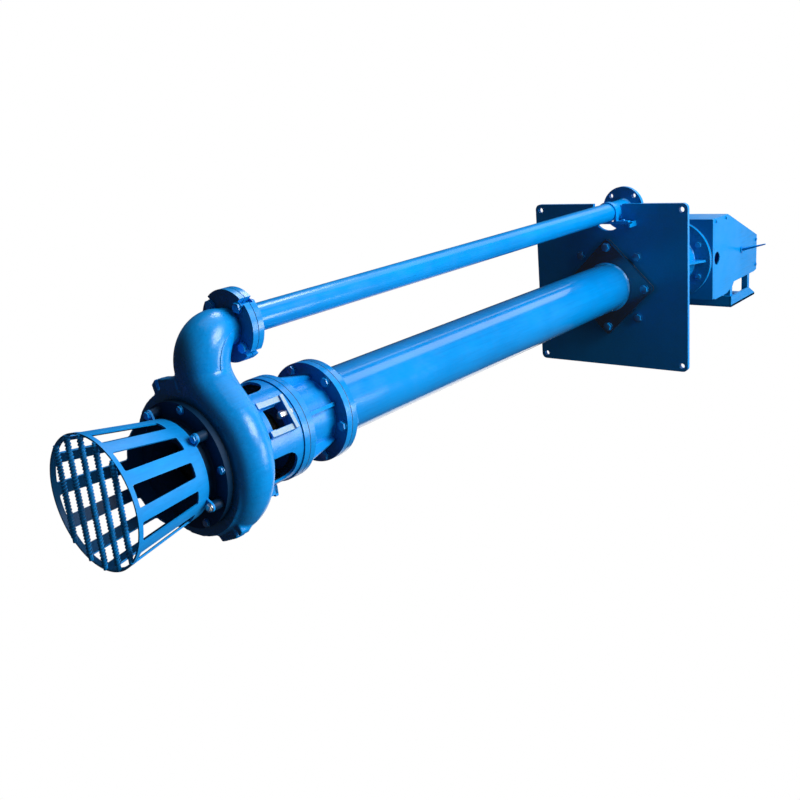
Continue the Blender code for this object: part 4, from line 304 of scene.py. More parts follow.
# Painted shade: the basket's inner faces are darkened.
basket_paint = blue_paint("blue_paint_on_basket", 0.38, **BASKET_SKIN, shade=0.5, shine=0.25, inner_shade=1.0)
cast_paint = blue_paint("blue_paint_on_castings", 0.22, **CAST_SKIN, shade=0.85)
cover_paint = blue_paint("primer_on_cover", 0.45, **CAST_SKIN, shine=0.15, dark_shade_above=COVER_SHADE_FROM)
# Painted shade: this paint is black on the bracket's inner wall.
bracket_paint = blue_paint("blue_paint_with_painted_shade_inside", 0.22, **CAST_SKIN, shade=0.6,
                           dark_shade_inside=BRACKET_SHADE_WITHIN)
frame_paint = blue_paint("blue_paint_ground_outside", 0.24, **CAST_SKIN, shade=0.5, ground=True)
print("paints", sum("paint" in material.name for material in bpy.data.materials))

# %% [markdown]
# ## Bare metals, rubber and gasket
# Most bolts were painted with the pump. The few that were fitted afterwards, such as the
# adjusting screws, show their zinc plate and its milky bloom. The shaft and bearings are turned
# steel, whose fine rings run round the axis, so the pattern is stretched flat along height. The
# impeller is hard cast iron, dark and grainy with a breath of rust. Seals are matt rubber, the
# sheet gaskets are grey fibre, and the bush is bronze. All share one recipe.

# %% Metals and seals
METAL_EDGE, BRIGHT = 0.0016, (0.8, 0.8, 0.8, 1.0)
SHAFT_RINGS, BUSH_RINGS = (1.0, 1.0, 24.0), (1.0, 1.0, 18.0)


def metal(name, colour, worn, rough, metallic, grain_scale, depth, rings=(1.0, 1.0, 1.0)):
    material, recipe = finish_recipe(name)
    grain = recipe.noise(grain_scale, 4.0, 0.6, recipe.stretched(rings))
    cloud = recipe.noise(22.0, 5.0, 0.65)
    edge = recipe.edges(METAL_EDGE)
    stain = recipe.ramp(cloud, 0.44, 0.70)
    body = recipe.blend(stain * 0.75, colour, worn)
    bright = recipe.blend(0.5, colour, BRIGHT)
    body = recipe.blend(edge * 0.4, body, bright)
    fine = rough + (grain - 0.5) * 0.22 + stain * 0.12 - edge * 0.08
    surface(recipe, {"Base Color": body, "Roughness": fine.most(0.08), "Metallic": metallic,
                     "Normal": bump(recipe, grain + cloud * 0.3, 0.4, depth)})
    return material


zinc = metal("zinc_plate", (0.62, 0.64, 0.66, 1), (0.47, 0.46, 0.40, 1), 0.34, 1.0, 420.0, 0.0003)
steel = metal("turned_steel", (0.55, 0.56, 0.58, 1), (0.36, 0.35, 0.34, 1), 0.30, 1.0, 60.0, 0.0002,
              SHAFT_RINGS)
iron = metal("hard_cast_iron", (0.115, 0.115, 0.12, 1), (0.17, 0.085, 0.045, 1), 0.58, 0.75, 240.0, 0.0008)
rubber = metal("matt_rubber", (0.018, 0.018, 0.019, 1), (0.045, 0.045, 0.045, 1), 0.72, 0.0, 330.0, 0.0003)
gasket_grey = metal("fibre_gasket", (0.050, 0.056, 0.062, 1), (0.10, 0.10, 0.10, 1), 0.80, 0.0, 520.0, 0.0002)
bronze = metal("bush_bronze", (0.52, 0.33, 0.13, 1), (0.30, 0.19, 0.09, 1), 0.34, 1.0, 70.0, 0.0002,
               BUSH_RINGS)
print("metals", zinc.name, steel.name, iron.name, rubber.name, gasket_grey.name, bronze.name)

# %% [markdown]
# ## Hands for modelling
# Most pieces of a pump are turned, cut from plate or bolted, so a few helpers cover them. A
# turned piece starts as a circle that is pulled and scaled from ring to ring along its outline.
# A plate starts as a cube at its size. Holes are cut with a Boolean, and copies are placed round
# the shaft. Angles run from the discharge side, -X, towards the front, -Y.

# %% Clearances, edges and roundness that come back on many pieces
GAP, GASKET, OVER, LAP, MERGE, LEVEL_WITHIN = 0.0003, 0.0015, 0.01, 0.001, 0.00002, 1e-6
CAST_EDGE, STEEL_EDGE, TURNED_EDGE, THIN_EDGE = 0.0014, 0.0012, 0.0010, 0.0009
BUSH_EDGE, CASTING_EDGE, STUD_EDGE = 0.0008, 0.0006, 0.0004
FACETS, STANDING, LARGE_ROUND, SMALL_ROUND = 30.0, 0.99, 128, 64


# %% Selecting, placing and finishing
def alone(piece):
    """Only this piece is selected and active."""
    bpy.ops.object.select_all(action="DESELECT")
    piece.select_set(True)
    bpy.context.view_layer.objects.active = piece


def settled(name):
    """The piece just added: named, with its place in its mesh."""
    piece = bpy.context.object
    piece.name = name
    piece.data.name = name
    alone(piece)
    bpy.ops.object.transform_apply(location=True, rotation=True, scale=True)
    return piece


def editing(piece, kind):
    alone(piece)
    bpy.ops.object.mode_set(mode="EDIT")
    bpy.ops.mesh.select_mode(type=kind)


def pick(kind, rule):
    """In edit mode, select the edges or points whose middle and direction fit a rule."""
    bpy.ops.mesh.select_mode(type=kind)
    bpy.ops.mesh.select_all(action="DESELECT")
    bm = bmesh.from_edit_mesh(bpy.context.object.data)
    if kind == "EDGE":
        found = [(edge, (edge.verts[0].co + edge.verts[1].co) / 2,
                  (edge.verts[1].co - edge.verts[0].co).normalized()) for edge in bm.edges]
    else:
        found = [(vert, vert.co, vert.normal) for vert in bm.verts]
    for item, middle, way in found:
        if rule(middle, way):
            item.select_set(True)
    bm.select_flush_mode()
    bmesh.update_edit_mesh(bpy.context.object.data)


def apply_modifier(piece, kind, **settings):
    alone(piece)
    modifier = piece.modifiers.new(kind.lower(), kind)
    for name, value in settings.items():
        setattr(modifier, name, value)
    bpy.ops.object.modifier_apply(modifier=modifier.name)


def joined(name, pieces):
    """Several pieces as one."""
    alone(pieces[0])
    for piece in pieces:
        piece.select_set(True)
    bpy.context.view_layer.objects.active = pieces[0]
    if len(pieces) > 1:
        bpy.ops.object.join()
    pieces[0].name = name
    pieces[0].data.name = name
    return pieces[0]


def toward(angle, radius, height=0.0):
    turn = math.radians(angle)
    return Vector((-radius * math.cos(turn), -radius * math.sin(turn), height))


def spin(angle):
    """Turn that carries a piece from -X to an angle round the shaft."""
    return Matrix.Rotation(math.radians(angle), 4, "Z")


def copies(name, piece, places):
    """A piece copied to several places, joined as one; the model itself is used up."""
    made = []
    for place in places:
        alone(piece)
        bpy.ops.object.duplicate(linked=False)
        copy = bpy.context.object
        copy.matrix_world = place
        bpy.ops.object.transform_apply(location=True, rotation=True, scale=True)
        made.append(copy)
    bpy.data.objects.remove(piece, do_unlink=True)
    return joined(name, made)


def boolean(piece, tool, operation="DIFFERENCE"):
    apply_modifier(piece, "BOOLEAN", operation=operation, object=tool, solver="EXACT")
    bpy.data.objects.remove(tool, do_unlink=True)


def turned(name, outline, x=0.0, y=0.0, steps=96, hollow=True):
    """A circle pulled along an outline of (radius, height) about an upright axis."""
    radius, height = outline[0]
    bpy.ops.mesh.primitive_circle_add(vertices=steps, radius=radius, location=(x, y, height))
    piece = settled(name)
    editing(piece, "EDGE")
    bpy.ops.mesh.select_all(action="SELECT")
    here_radius, here_height = radius, height
    for radius, height in outline[1:] + (outline[:1] if hollow else []):
        lift = {"value": (0.0, 0.0, height - here_height)}
        bpy.ops.mesh.extrude_edges_move(TRANSFORM_OT_translate=lift)
        grow = radius / here_radius
        bpy.ops.transform.resize(value=(grow, grow, 1.0), center_override=(x, y, height))
        here_radius, here_height = radius, height
    if hollow:
        bpy.ops.mesh.select_all(action="SELECT")
        bpy.ops.mesh.remove_doubles(threshold=MERGE)
        bpy.ops.mesh.normals_make_consistent(inside=False)
        bpy.ops.object.mode_set(mode="OBJECT")
        return piece
    bpy.ops.mesh.edge_face_add()
    low = outline[0][1]
    pick("EDGE", lambda middle, way: abs(middle.z - low) < LEVEL_WITHIN and abs(way.z) < LEVEL_WITHIN)
    bpy.ops.mesh.edge_face_add()
    bpy.ops.mesh.select_all(action="SELECT")
    bpy.ops.mesh.normals_make_consistent(inside=False)
    bpy.ops.object.mode_set(mode="OBJECT")
    return piece


def plate(name, low, high):
    """A cube added between two corners."""
    low, high = Vector(low), Vector(high)
    bpy.ops.mesh.primitive_cube_add(size=1.0, location=(low + high) / 2, scale=high - low)
    return settled(name)


def round_edges(piece, rule, width, segments):
    editing(piece, "EDGE")
    pick("EDGE", rule)
    bpy.ops.mesh.bevel(offset=width, segments=segments, affect="EDGES")
    bpy.ops.object.mode_set(mode="OBJECT")


def standing(middle, way):
    return abs(way.z) > STANDING


def rod(name, start, end, radius, steps=24, tip=None):
    """A round bar between two points, its far end scaled to a tip radius."""
    start, end = Vector(start), Vector(end)
    way = end - start
    bpy.ops.mesh.primitive_cone_add(vertices=steps, radius1=radius, radius2=tip or radius, depth=way.length,
                                    location=(start + end) / 2,
                                    rotation=way.to_track_quat("Z", "Y").to_euler())
    return settled(name)


def smooth(piece, angle=FACETS):
    """Smooth shading, but not across corners sharper than an angle."""
    alone(piece)
    bpy.ops.object.shade_smooth_by_angle(angle=math.radians(angle))


def soften(piece, width, segments=2, angle=35.0):
    """Broken edges, as a file or a coat of paint leaves them, and flat faces that shade flat."""
    apply_modifier(piece, "BEVEL", width=width, segments=segments, limit_method="ANGLE",
                   angle_limit=math.radians(angle), harden_normals=False, use_clamp_overlap=True)
    smooth(piece, angle)
    apply_modifier(piece, "WEIGHTED_NORMAL", weight=100, keep_sharp=True)


def fit(piece, nodes, body, material):
    """Give a finished piece its material and its body, and hide the solids it stands for."""
    piece.data.materials.clear()
    piece.data.materials.append(material)
    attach(piece, body)
    if nodes:
        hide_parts(*nodes)
    print(piece.name, len(piece.data.polygons), "faces")


# %% [markdown]
# ## Hexagon bolts
# A bolt is one shape everywhere: a six-sided head with its corners turned off, a washer, a
# shank and a nut. One of each size is modelled at the origin, with the head below and the nut
# above, and copied to its places. The head starts as a six-sided cylinder whose rim is bevelled.

# %% Bolts
M20 = {"shank": 0.010, "corner": 0.0173, "head": 0.0125, "nut": 0.016, "hole": 0.0112}
M16 = {"shank": 0.008, "corner": 0.0139, "head": 0.010, "nut": 0.013, "hole": 0.0092}
M12 = {"shank": 0.006, "corner": 0.0104, "head": 0.0075, "nut": 0.010, "hole": 0.0072}
M8 = {"shank": 0.004, "corner": 0.0075, "head": 0.005, "nut": 0.0065}
WASHER, WASHER_WIDE, TURNED_OFF, NUT_END, THREAD_TIP = 0.0018, 1.13, 0.09, 0.002, 0.85
SPANNER_FIRST, SPANNER_STEP = 11.0, 17.0


def hexagon(low, high, corner):
    """Six-sided head with the corners of its rims turned off."""
    bpy.ops.mesh.primitive_cylinder_add(vertices=6, radius=corner, depth=high - low,
                                        location=(0, 0, (low + high) / 2))
    head = settled("hexagon")
    round_edges(head, lambda middle, way: abs(way.z) < 0.1, corner * TURNED_OFF, 2)
    return head


def washer(corner, face):
    """Washer on a face, a little wider than the head over it."""
    wide = corner * WASHER_WIDE
    outline = [(corner, face), (wide, face), (wide, face + WASHER), (corner, face + WASHER)]
    return turned("washer", outline, steps=24, hollow=False)


def bolt(size, low, high):
    """Through bolt: head under the low face, nut and thread end over the high face."""
    corner = size["corner"]
    head = hexagon(low - size["head"], low - WASHER, corner)
    nut = hexagon(high + WASHER, high + size["nut"] - NUT_END, corner)
    washers = [washer(corner, face) for face in (low - WASHER, high)]
    shank = size["shank"]
    top = high + size["nut"]
    thread_line = [(shank, low), (shank, top - LAP), (shank * THREAD_TIP, top)]
    thread = turned("thread", thread_line, steps=16, hollow=False)
    return joined("bolt", [head, nut, thread] + washers)


def screw(size, face, depth):
    """Screw with its head over a face and its shank below it."""
    corner = size["corner"]
    head = hexagon(face + WASHER, face + size["head"], corner)
    ring = washer(corner, face)
    shank = turned("thread", [(size["shank"], face - depth), (size["shank"], face)], steps=16, hollow=False)
    return joined("screw", [head, ring, shank])


def round_places(radius, count, first, height=0.0, flip=False):
    """Places on a circle round the shaft, each turned a little differently, as spanners leave them."""
    over = Matrix.Rotation(math.pi, 4, "X") if flip else Matrix.Identity(4)
    return [Matrix.Translation(toward(first + 360.0 * i / count, radius, height))
            @ spin(SPANNER_FIRST + SPANNER_STEP * i)
            @ over for i in range(count)]


def drilled(piece, size, low, high, places):
    """Clearance holes for one size of bolt, cut through the metal between two heights."""
    drill = rod("drill", (0, 0, low - OVER), (0, 0, high + OVER), size["hole"])
    boolean(piece, copies("drills", drill, places))


def gasket_and_bolts(node, sheet, bolts, bolt_look):
    """The sheet and the fasteners of one joint, as two pieces that stand for one solid."""
    fit(sheet, [node], "pump_frame", gasket_grey)
    smooth(bolts)
    bolts.name = node.replace("gasket_with_", "")
    fit(bolts, [node], "pump_frame", bolt_look)


def sheet_ring(name, inner, outer, low, x=0.0, y=0.0):
    outline = [(inner, low), (outer, low), (outer, low + GASKET), (inner, low + GASKET)]
    return turned(name, outline, x, y)


# %% [markdown]
# ## Column
# The column is a thick tube that carries the pump end. Its foot flange is welded on, with a
# bead that fills the corner, and its square head flange is set corner-on under the plate. The
# tube is turned in one run, bead and all; the square is a cube with rounded corners. Above the
# square's lower face this piece's paint turns near black, as painted shade on the square.

# %% Column
TUBE, TUBE_WALL, FLANGE, FLANGE_THICK = 0.1015, 0.008, 0.149, 0.020
FOOT_WELD, HEAD_WELD, WELD_LOW, WELD_FULL, WELD_END = 0.006, 0.005, 0.029, 0.023, 0.010
COLUMN_BOLTS, FLANGE_BOLTS, FIRST_BOLT = 0.131, 6, 39.0
foot, head = ends("column_tube")
column = turned("column", [(TUBE - TUBE_WALL, foot), (FLANGE, foot), (FLANGE, foot + FLANGE_THICK),
                           (TUBE + FOOT_WELD, foot + FLANGE_THICK), (TUBE, foot + FLANGE_THICK + FOOT_WELD),
                           (TUBE, head - WELD_LOW), (TUBE + HEAD_WELD, head - WELD_FULL),
                           (TUBE + HEAD_WELD, head - WELD_END), (TUBE, head), (TUBE - TUBE_WALL, head)],
                steps=LARGE_ROUND)
SQUARE, SQUARE_THICK, SQUARE_CORNER, SQUARE_LAP = 0.148, 0.022, 0.014, 0.004
square = plate("square_flange", (-SQUARE, -SQUARE, head - SQUARE_THICK), (SQUARE, SQUARE, head))
round_edges(square, standing, SQUARE_CORNER, 6)
square = copies("square_flange", square, [spin(45.0)])
bore = TUBE - SQUARE_LAP
boolean(square, turned("bore", [(bore, head - SQUARE_THICK - OVER), (bore, head + OVER)], hollow=False))
column_bolts = round_places(COLUMN_BOLTS, FLANGE_BOLTS, FIRST_BOLT)
drilled(column, M16, foot, foot + FLANGE_THICK, column_bolts)
column = joined("column", [column, square])
soften(column, STEEL_EDGE)
# Painted shade: the square flange is painted near black.
column_paint = blue_paint("blue_paint_on_column", 0.14, **STEEL_SKIN, shade=0.75, shine=1.0, coat=1.0,
                          dark_shade_above=head - SQUARE_THICK - DARK_SHADE_FADE)
fit(column, ["column_tube"], "pump_frame", column_paint)

# %% [markdown]
# ## Mounting plate
# The whole pump hangs from this square steel plate, which lies over the pit. It has rounded
# corners, a hole in each corner, a central bore, and a round-ended notch that lets the
# discharge pipe pass. A cube, a few bevels and cut holes make it.

# %% Mounting plate
PLATE, PLATE_THICK, PLATE_CORNER, PLATE_BORE = 0.350, 0.018, 0.022, 0.150
CORNER_PLACE, CORNER_HOLE, NOTCH_CENTRE, NOTCH_HALF = 0.325, 0.011, -0.305, 0.067
below, above = -OVER, PLATE_THICK + OVER
mounting = plate("mounting", (-PLATE, -PLATE, 0), (PLATE, PLATE, PLATE_THICK))
round_edges(mounting, standing, PLATE_CORNER, 6)
boolean(mounting, plate("notch", (-PLATE - OVER, -NOTCH_HALF, below), (NOTCH_CENTRE, NOTCH_HALF, above)))
notch_end = rod("notch_end", (NOTCH_CENTRE, 0, below), (NOTCH_CENTRE, 0, above), NOTCH_HALF, SMALL_ROUND)
boolean(mounting, notch_end)
boolean(mounting, rod("bore", (0, 0, below), (0, 0, above), PLATE_BORE, 96))
corners = [Matrix.Translation((x * CORNER_PLACE, y * CORNER_PLACE, 0)) for x in (-1, 1) for y in (-1, 1)]
boolean(mounting, copies("drills", rod("drill", (0, 0, below), (0, 0, above), CORNER_HOLE, 32), corners))
soften(mounting, STEEL_EDGE)
fit(mounting, ["mounting_plate"], "pump_frame", plate_paint)

# %% [markdown]
# ## Ribbed spool
# Between the column and the pump end stands a short cast spool. Six tapered ribs stiffen its
# lower flange between the screws. One rib is a cube whose outer top edge is moved in, and it is
# copied round the tube.

# %% Spool
SPOOL, SPOOL_WALL, SPOOL_FOOT, SPOOL_SCREWS = 0.104, 0.012, 0.149, 0.129
FILLET, FILLET_BEND, FILLET_RISE, FACE_DROP = (0.005, 0.006), 0.0015, 0.0018, 0.0006
RIB, RIB_ROOT, RIB_SINK, RIB_TOP, FIRST_RIB = 0.011, 0.006, 0.004, 0.010, 9.0
foot, head = ends("ribbed_spool")
foot_top, head_low = foot + FLANGE_THICK, head - FLANGE_THICK
spool = turned("spool", [(SPOOL - SPOOL_WALL, foot), (SPOOL_FOOT, foot), (SPOOL_FOOT, foot_top - FACE_DROP),
                         (SPOOL + FILLET[0], foot_top), (SPOOL + FILLET_BEND, foot_top + FILLET_RISE),
                         (SPOOL, foot_top + FILLET[1]), (SPOOL, head_low - FILLET[1]),
                         (SPOOL + FILLET_BEND, head_low - FILLET_RISE), (SPOOL + FILLET[0], head_low),
                         (FLANGE, head_low), (FLANGE, head), (SPOOL - SPOOL_WALL, head)])
rib = plate("rib", (-SPOOL_FOOT + RIB / 2, -RIB / 2, foot_top - RIB_SINK),
            (-SPOOL + RIB_ROOT, RIB / 2, head_low + RIB_SINK))
editing(rib, "EDGE")
pick("EDGE", lambda middle, way: middle.z > head_low and middle.x < -SPOOL - RIB and abs(way.y) > STANDING)
bpy.ops.transform.translate(value=(SPOOL_FOOT - RIB / 2 - SPOOL - RIB_TOP, 0, 0))
bpy.ops.object.mode_set(mode="OBJECT")
ribs = copies("ribs", rib, [spin(FIRST_RIB + 360.0 / FLANGE_BOLTS * i) for i in range(FLANGE_BOLTS)])
lower_screws = round_places(SPOOL_SCREWS, FLANGE_BOLTS, FIRST_BOLT)
drilled(spool, M16, foot, foot_top, lower_screws)
drilled(spool, M16, head_low, head, column_bolts)
spool = joined("spool", [spool, ribs])
soften(spool, CAST_EDGE)
fit(spool, ["ribbed_spool"], "pump_frame", cast_paint)

# %% Gaskets and fasteners of the spool
RIM_GAP, LONG_SCREW = 0.001, 0.05
sheet = sheet_ring("column_gasket", TUBE - TUBE_WALL, FLANGE - RIM_GAP, head + GAP)
column_foot = ends("column_tube")[0]
bolts = copies("bolts", bolt(M16, head_low - GAP, column_foot + FLANGE_THICK + GAP), column_bolts)
gasket_and_bolts("column_gasket_with_bolts", sheet, bolts, flange_paint)
sheet = sheet_ring("adapter_gasket", SPOOL, SPOOL_FOOT - RIM_GAP, foot - GASKET - GAP)
screws = copies("screws", screw(M16, foot_top + GAP, LONG_SCREW), lower_screws)
gasket_and_bolts("adapter_gasket_with_screws", sheet, screws, flange_paint)

# %% [markdown]
# ## Windowed bracket and its adjusters
# A cast cylinder joins the spool to the casing. Three round-topped windows give access to the
# shaft seal, and three square ports carry U-shaped frames with a jacking screw, which shift the
# bracket when the impeller's clearance is set. The windows are cut by a rounded block, and one
# frame is built from bars and copied.

# %% Bracket
BRACKET, BRACKET_WALL, BRACKET_BORE, BRACKET_NECK = 0.145, 0.011, 0.100, 0.112
BRACKET_FOOT, BRACKET_HEAD, BRACKET_LIP = 0.014, 0.020, 0.018
FOOT_SCREWS, FIRST_FOOT_SCREW = 0.117, 12.0
foot, head = ends("window_bracket")
inside = BRACKET - BRACKET_WALL
bracket = turned("bracket", [(BRACKET_BORE, foot), (BRACKET, foot), (BRACKET, head), (BRACKET_NECK, head),
                             (BRACKET_NECK, head - BRACKET_LIP), (inside, head - BRACKET_HEAD),
                             (inside, foot + BRACKET_FOOT), (BRACKET_BORE, foot + BRACKET_FOOT)],
                 steps=LARGE_ROUND)

# %% Windows, ports and screw holes
CUT_FROM, CUT_TO = -0.17, -0.10
WINDOWS, WINDOW_HALF, WINDOW_SILL, WINDOW_TOP, ARCH, SILL_CORNER = 3, 0.052, 0.0195, 0.0208, 0.038, 0.012
PORT_HALF, PORT_LOW, PORT_TOP, FRAME_DOWN, BRIDGE, FIRST_PORT = 0.030, 0.050, 0.001, 0.014, 0.013, 58.5
waist = (foot + head) / 2
window = plate("window", (CUT_FROM, -WINDOW_HALF, foot + WINDOW_SILL),
               (CUT_TO, WINDOW_HALF, head - WINDOW_TOP))
round_edges(window, lambda middle, way: abs(way.x) > STANDING and middle.z > waist, ARCH, 10)
round_edges(window, lambda middle, way: abs(way.x) > STANDING and middle.z < waist, SILL_CORNER, 5)
thirds = [360.0 / WINDOWS * i for i in range(WINDOWS)]
boolean(bracket, copies("windows", window, [spin(third) for third in thirds]))
frame_top = head - BRACKET_LIP - FRAME_DOWN
seat = frame_top - BRIDGE
port = plate("port", (CUT_FROM, -PORT_HALF, seat - PORT_LOW), (CUT_TO, PORT_HALF, seat - PORT_TOP))
adjuster_turns = [spin(FIRST_PORT + third) for third in thirds]
boolean(bracket, copies("ports", port, adjuster_turns))
foot_screws = round_places(FOOT_SCREWS, FLANGE_BOLTS, FIRST_FOOT_SCREW)
drilled(bracket, M16, head - BRACKET_HEAD, head, lower_screws)
drilled(bracket, M12, foot, foot + BRACKET_FOOT, foot_screws)
soften(bracket, STEEL_EDGE)

# %% Adjuster frames
FRAME_OUT, FRAME_HALF, FRAME_HIGH, FRAME_ROOT, FRAME_EDGE = 0.027, 0.049, 0.096, 0.006, 0.0020
RAIL, RAIL_BACK, TOE, TOE_PROUD = 0.017, 0.006, 0.020, 0.0005
frame_low = frame_top - FRAME_HIGH
root, front_face = -BRACKET + FRAME_ROOT, -BRACKET - FRAME_OUT
bars = [plate("bridge", (front_face, -FRAME_HALF, seat), (root, FRAME_HALF, frame_top))]
for side in (-1, 1):
    near, far = sorted((side * (FRAME_HALF - RAIL), side * FRAME_HALF))
    bars.append(plate("rail", (front_face + RAIL_BACK, near, frame_low), (root, far, frame_top)))
    bars.append(plate("toe", (front_face, near - TOE_PROUD, frame_low),
                      (root, far + TOE_PROUD, frame_low + TOE)))
for bar in bars:
    soften(bar, FRAME_EDGE, 3)
frames = copies("frames", joined("frame", bars), adjuster_turns)
fit(frames, ["window_bracket"], "pump_frame", frame_paint)
# Painted shade: the bracket's inner wall is painted black.
fit(bracket, ["window_bracket"], "pump_frame", bracket_paint)

# %% Jacking screws
JACK_OUT, JACK_HEAD = 0.0135, 0.0225
for i, adjuster_turn in enumerate(adjuster_turns):
    head_part = hexagon(seat - JACK_HEAD, seat - GAP, M12["corner"])
    lock = hexagon(frame_top + GAP, frame_top + GAP + M12["head"], M12["corner"])
    shank_line = [(M12["shank"], seat - LAP), (M12["shank"], frame_top + LAP)]
    shank = turned("thread", shank_line, steps=16, hollow=False)
    place = adjuster_turn @ Matrix.Translation((-BRACKET - JACK_OUT, 0, 0)) @ spin(SPANNER_FIRST)
    jack = copies(f"jacking_screw_{i + 1}", joined("jack", [head_part, lock, shank]), [place])
    smooth(jack)
    fit(jack, [f"adjusting_screw_{i + 1}"], "pump_frame", zinc)

# %% [markdown]
# ## Carrier plate and throttle bush
# A round plate between bracket and spool holds the bronze bush that steadies the shaft. Seen
# from outside it is only a line between two joints, and through the windows it closes the top.

# %% Carrier, bush and bracket gasket
CARRIER_BORE, SHORT_SCREW = 0.0445, 0.022
BUSH_BORE, BUSH_RIM, BUSH_BODY, BUSH_COLLAR = 0.0328, 0.056, 0.044, 0.008
low, high = ends("bush_carrier")
carrier_line = [(CARRIER_BORE, low), (SPOOL_FOOT, low), (SPOOL_FOOT, high), (CARRIER_BORE, high)]
carrier = turned("carrier", carrier_line)
drilled(carrier, M16, low, high, lower_screws)
soften(carrier, STEEL_EDGE)
fit(carrier, ["bush_carrier"], "pump_frame", cast_paint)
low, high = ends("throttle_bush")
bush = turned("bush", [(BUSH_BORE, low), (BUSH_RIM, low), (BUSH_RIM, low + BUSH_COLLAR),
                       (BUSH_BODY, low + BUSH_COLLAR), (BUSH_BODY, high), (BUSH_BORE, high)])
soften(bush, BUSH_EDGE)
fit(bush, ["throttle_bush"], "pump_frame", bronze)
sheet = sheet_ring("bracket_gasket", BRACKET_BORE, inside, foot - GASKET - GAP)
screws = copies("screws", screw(M12, foot + BRACKET_FOOT + GAP, SHORT_SCREW), foot_screws)
gasket_and_bolts("bracket_gasket_with_screws", sheet, screws, sheet_paint)

# %% [markdown]
# ## Pump casing
# The casing is the heart of the pump: a spiral that grows as it gathers the flow, a swan neck
# that carries it outwards, and an elbow that turns it up into the discharge pipe. A tube along
# such a path is a curve with a round bevel whose radius changes from station to station, so each
# section stays round and square to its path. Drum, front disc and lugs are welded on as a sand
# casting has them: remeshed as one skin and smoothed, so that every corner gets a fillet. The
# machined bores are cut afterwards and stay sharp.

# %% Stations of the spiral, the neck and the elbow
CASING_WALL, PIPE_X, PIPE_Y = 0.011, -0.321, -0.026
FLANGE_65, FLANGE_65_THICK, BOLTS_65, SLOT = 0.0965, 0.018, 0.0735, 0.0092
front = ends("volute_casing")[0]
back = ends("window_bracket")[0] - GASKET - 2 * GAP
flange_face = ends("volute_casing")[1] - FLANGE_65_THICK
SPIRAL = {"start": 345.0, "end": 60.0, "from": 0.140, "to": 0.172, "thin": 0.044, "thick": 0.062}
NECK, ELBOW, OUTLET, FLANGE_LAP = 0.071, 0.080, 0.051, 0.004


def spiral_run(count):
    """Stations of (centre, radius) along the spiral."""
    run = []
    for i in range(count + 1):
        share = i / count
        angle = SPIRAL["start"] + (SPIRAL["end"] - SPIRAL["start"]) * share
        reach = SPIRAL["from"] + (SPIRAL["to"] - SPIRAL["from"]) * share
        radius = SPIRAL["thin"] + (SPIRAL["thick"] - SPIRAL["thin"]) * share
        run.append((toward(angle, reach, front + radius), radius))
    return run


def neck_run(count, start):
    """Neck from the spiral's tangent to the elbow, on a smooth cubic path."""
    end = Vector((ELBOW + PIPE_X, PIPE_Y, front + NECK))
    turn = math.radians(SPIRAL["end"])
    handle = (end - start).length / 3
    leave = start + Vector((-math.sin(turn), math.cos(turn), 0)) * handle
    points = interpolate_bezier(start, leave, end + Vector((handle, 0, 0)), end, count + 1)
    return [(points[i], SPIRAL["thick"] + (NECK - SPIRAL["thick"]) * i / count) for i in range(1, count + 1)]


def elbow_run(count):
    """Elbow up to the flange, closing in to the pipe's bore."""
    run = []
    for i in range(1, count + 1):
        share = i / count
        turn = math.radians(90.0 * share)
        across, up = ELBOW * (1 - math.sin(turn)), ELBOW * (1 - math.cos(turn))
        centre = Vector((PIPE_X + across, PIPE_Y, front + NECK + up))
        run.append((centre, NECK + (OUTLET - NECK) * share**3))
    return run


spiral = spiral_run(44)
neck = neck_run(12, spiral[-1][0])
elbow = elbow_run(16)
path = spiral + neck + elbow + [(Vector((PIPE_X, PIPE_Y, flange_face + FLANGE_LAP)), OUTLET)]
print("path", len(path), "front", front, "back", back, "flange", flange_face)

# %% Casing as one cast skin
def tube_along(name, stations, shrink=0.0):
    """A round tube of changing radius along a path: a curve with a round bevel, made a mesh."""
    bpy.ops.curve.primitive_nurbs_path_add()
    tube = bpy.context.object
    tube.name = name
    curve = tube.data
    curve.splines.clear()
    line = curve.splines.new("POLY")
    line.points.add(len(stations) - 1)
    for point, (centre, radius) in zip(line.points, stations):
        point.co = (*centre, 1.0)
        point.radius = radius - shrink
    curve.dimensions = "3D"
    curve.bevel_depth = 1.0
    curve.bevel_resolution = 14
    curve.use_fill_caps = True
    alone(tube)
    bpy.ops.object.convert(target="MESH")
    tube = bpy.context.object
    editing(tube, "VERT")
    bpy.ops.mesh.select_all(action="SELECT")
    bpy.ops.mesh.remove_doubles(threshold=MERGE)
    bpy.ops.mesh.normals_make_consistent(inside=False)
    bpy.ops.object.mode_set(mode="OBJECT")
    return tube


def cut_out(name, points, start, thick, flat="XY"):
    """A flat outline drawn corner by corner, filled, and pulled to a thickness."""
    def spot(point):
        across, up = point
        return Vector((across, up, start)) if flat == "XY" else Vector((across, start, up))

    bpy.ops.mesh.primitive_plane_add(size=0.01, location=spot(points[0]))
    piece = settled(name)
    editing(piece, "VERT")
    bpy.ops.mesh.select_all(action="SELECT")
    bpy.ops.mesh.merge(type="CENTER")
    for here, there in zip(points, points[1:]):
        way = {"value": spot(there) - spot(here)}
        bpy.ops.mesh.extrude_vertices_move(TRANSFORM_OT_translate=way)
    bpy.ops.mesh.select_all(action="SELECT")
    bpy.ops.mesh.edge_face_add()
    pull = (0, 0, thick) if flat == "XY" else (0, thick, 0)
    bpy.ops.mesh.extrude_region_move(TRANSFORM_OT_translate={"value": pull})
    bpy.ops.mesh.select_all(action="SELECT")
    bpy.ops.mesh.normals_make_consistent(inside=False)
    bpy.ops.object.mode_set(mode="OBJECT")
    return piece


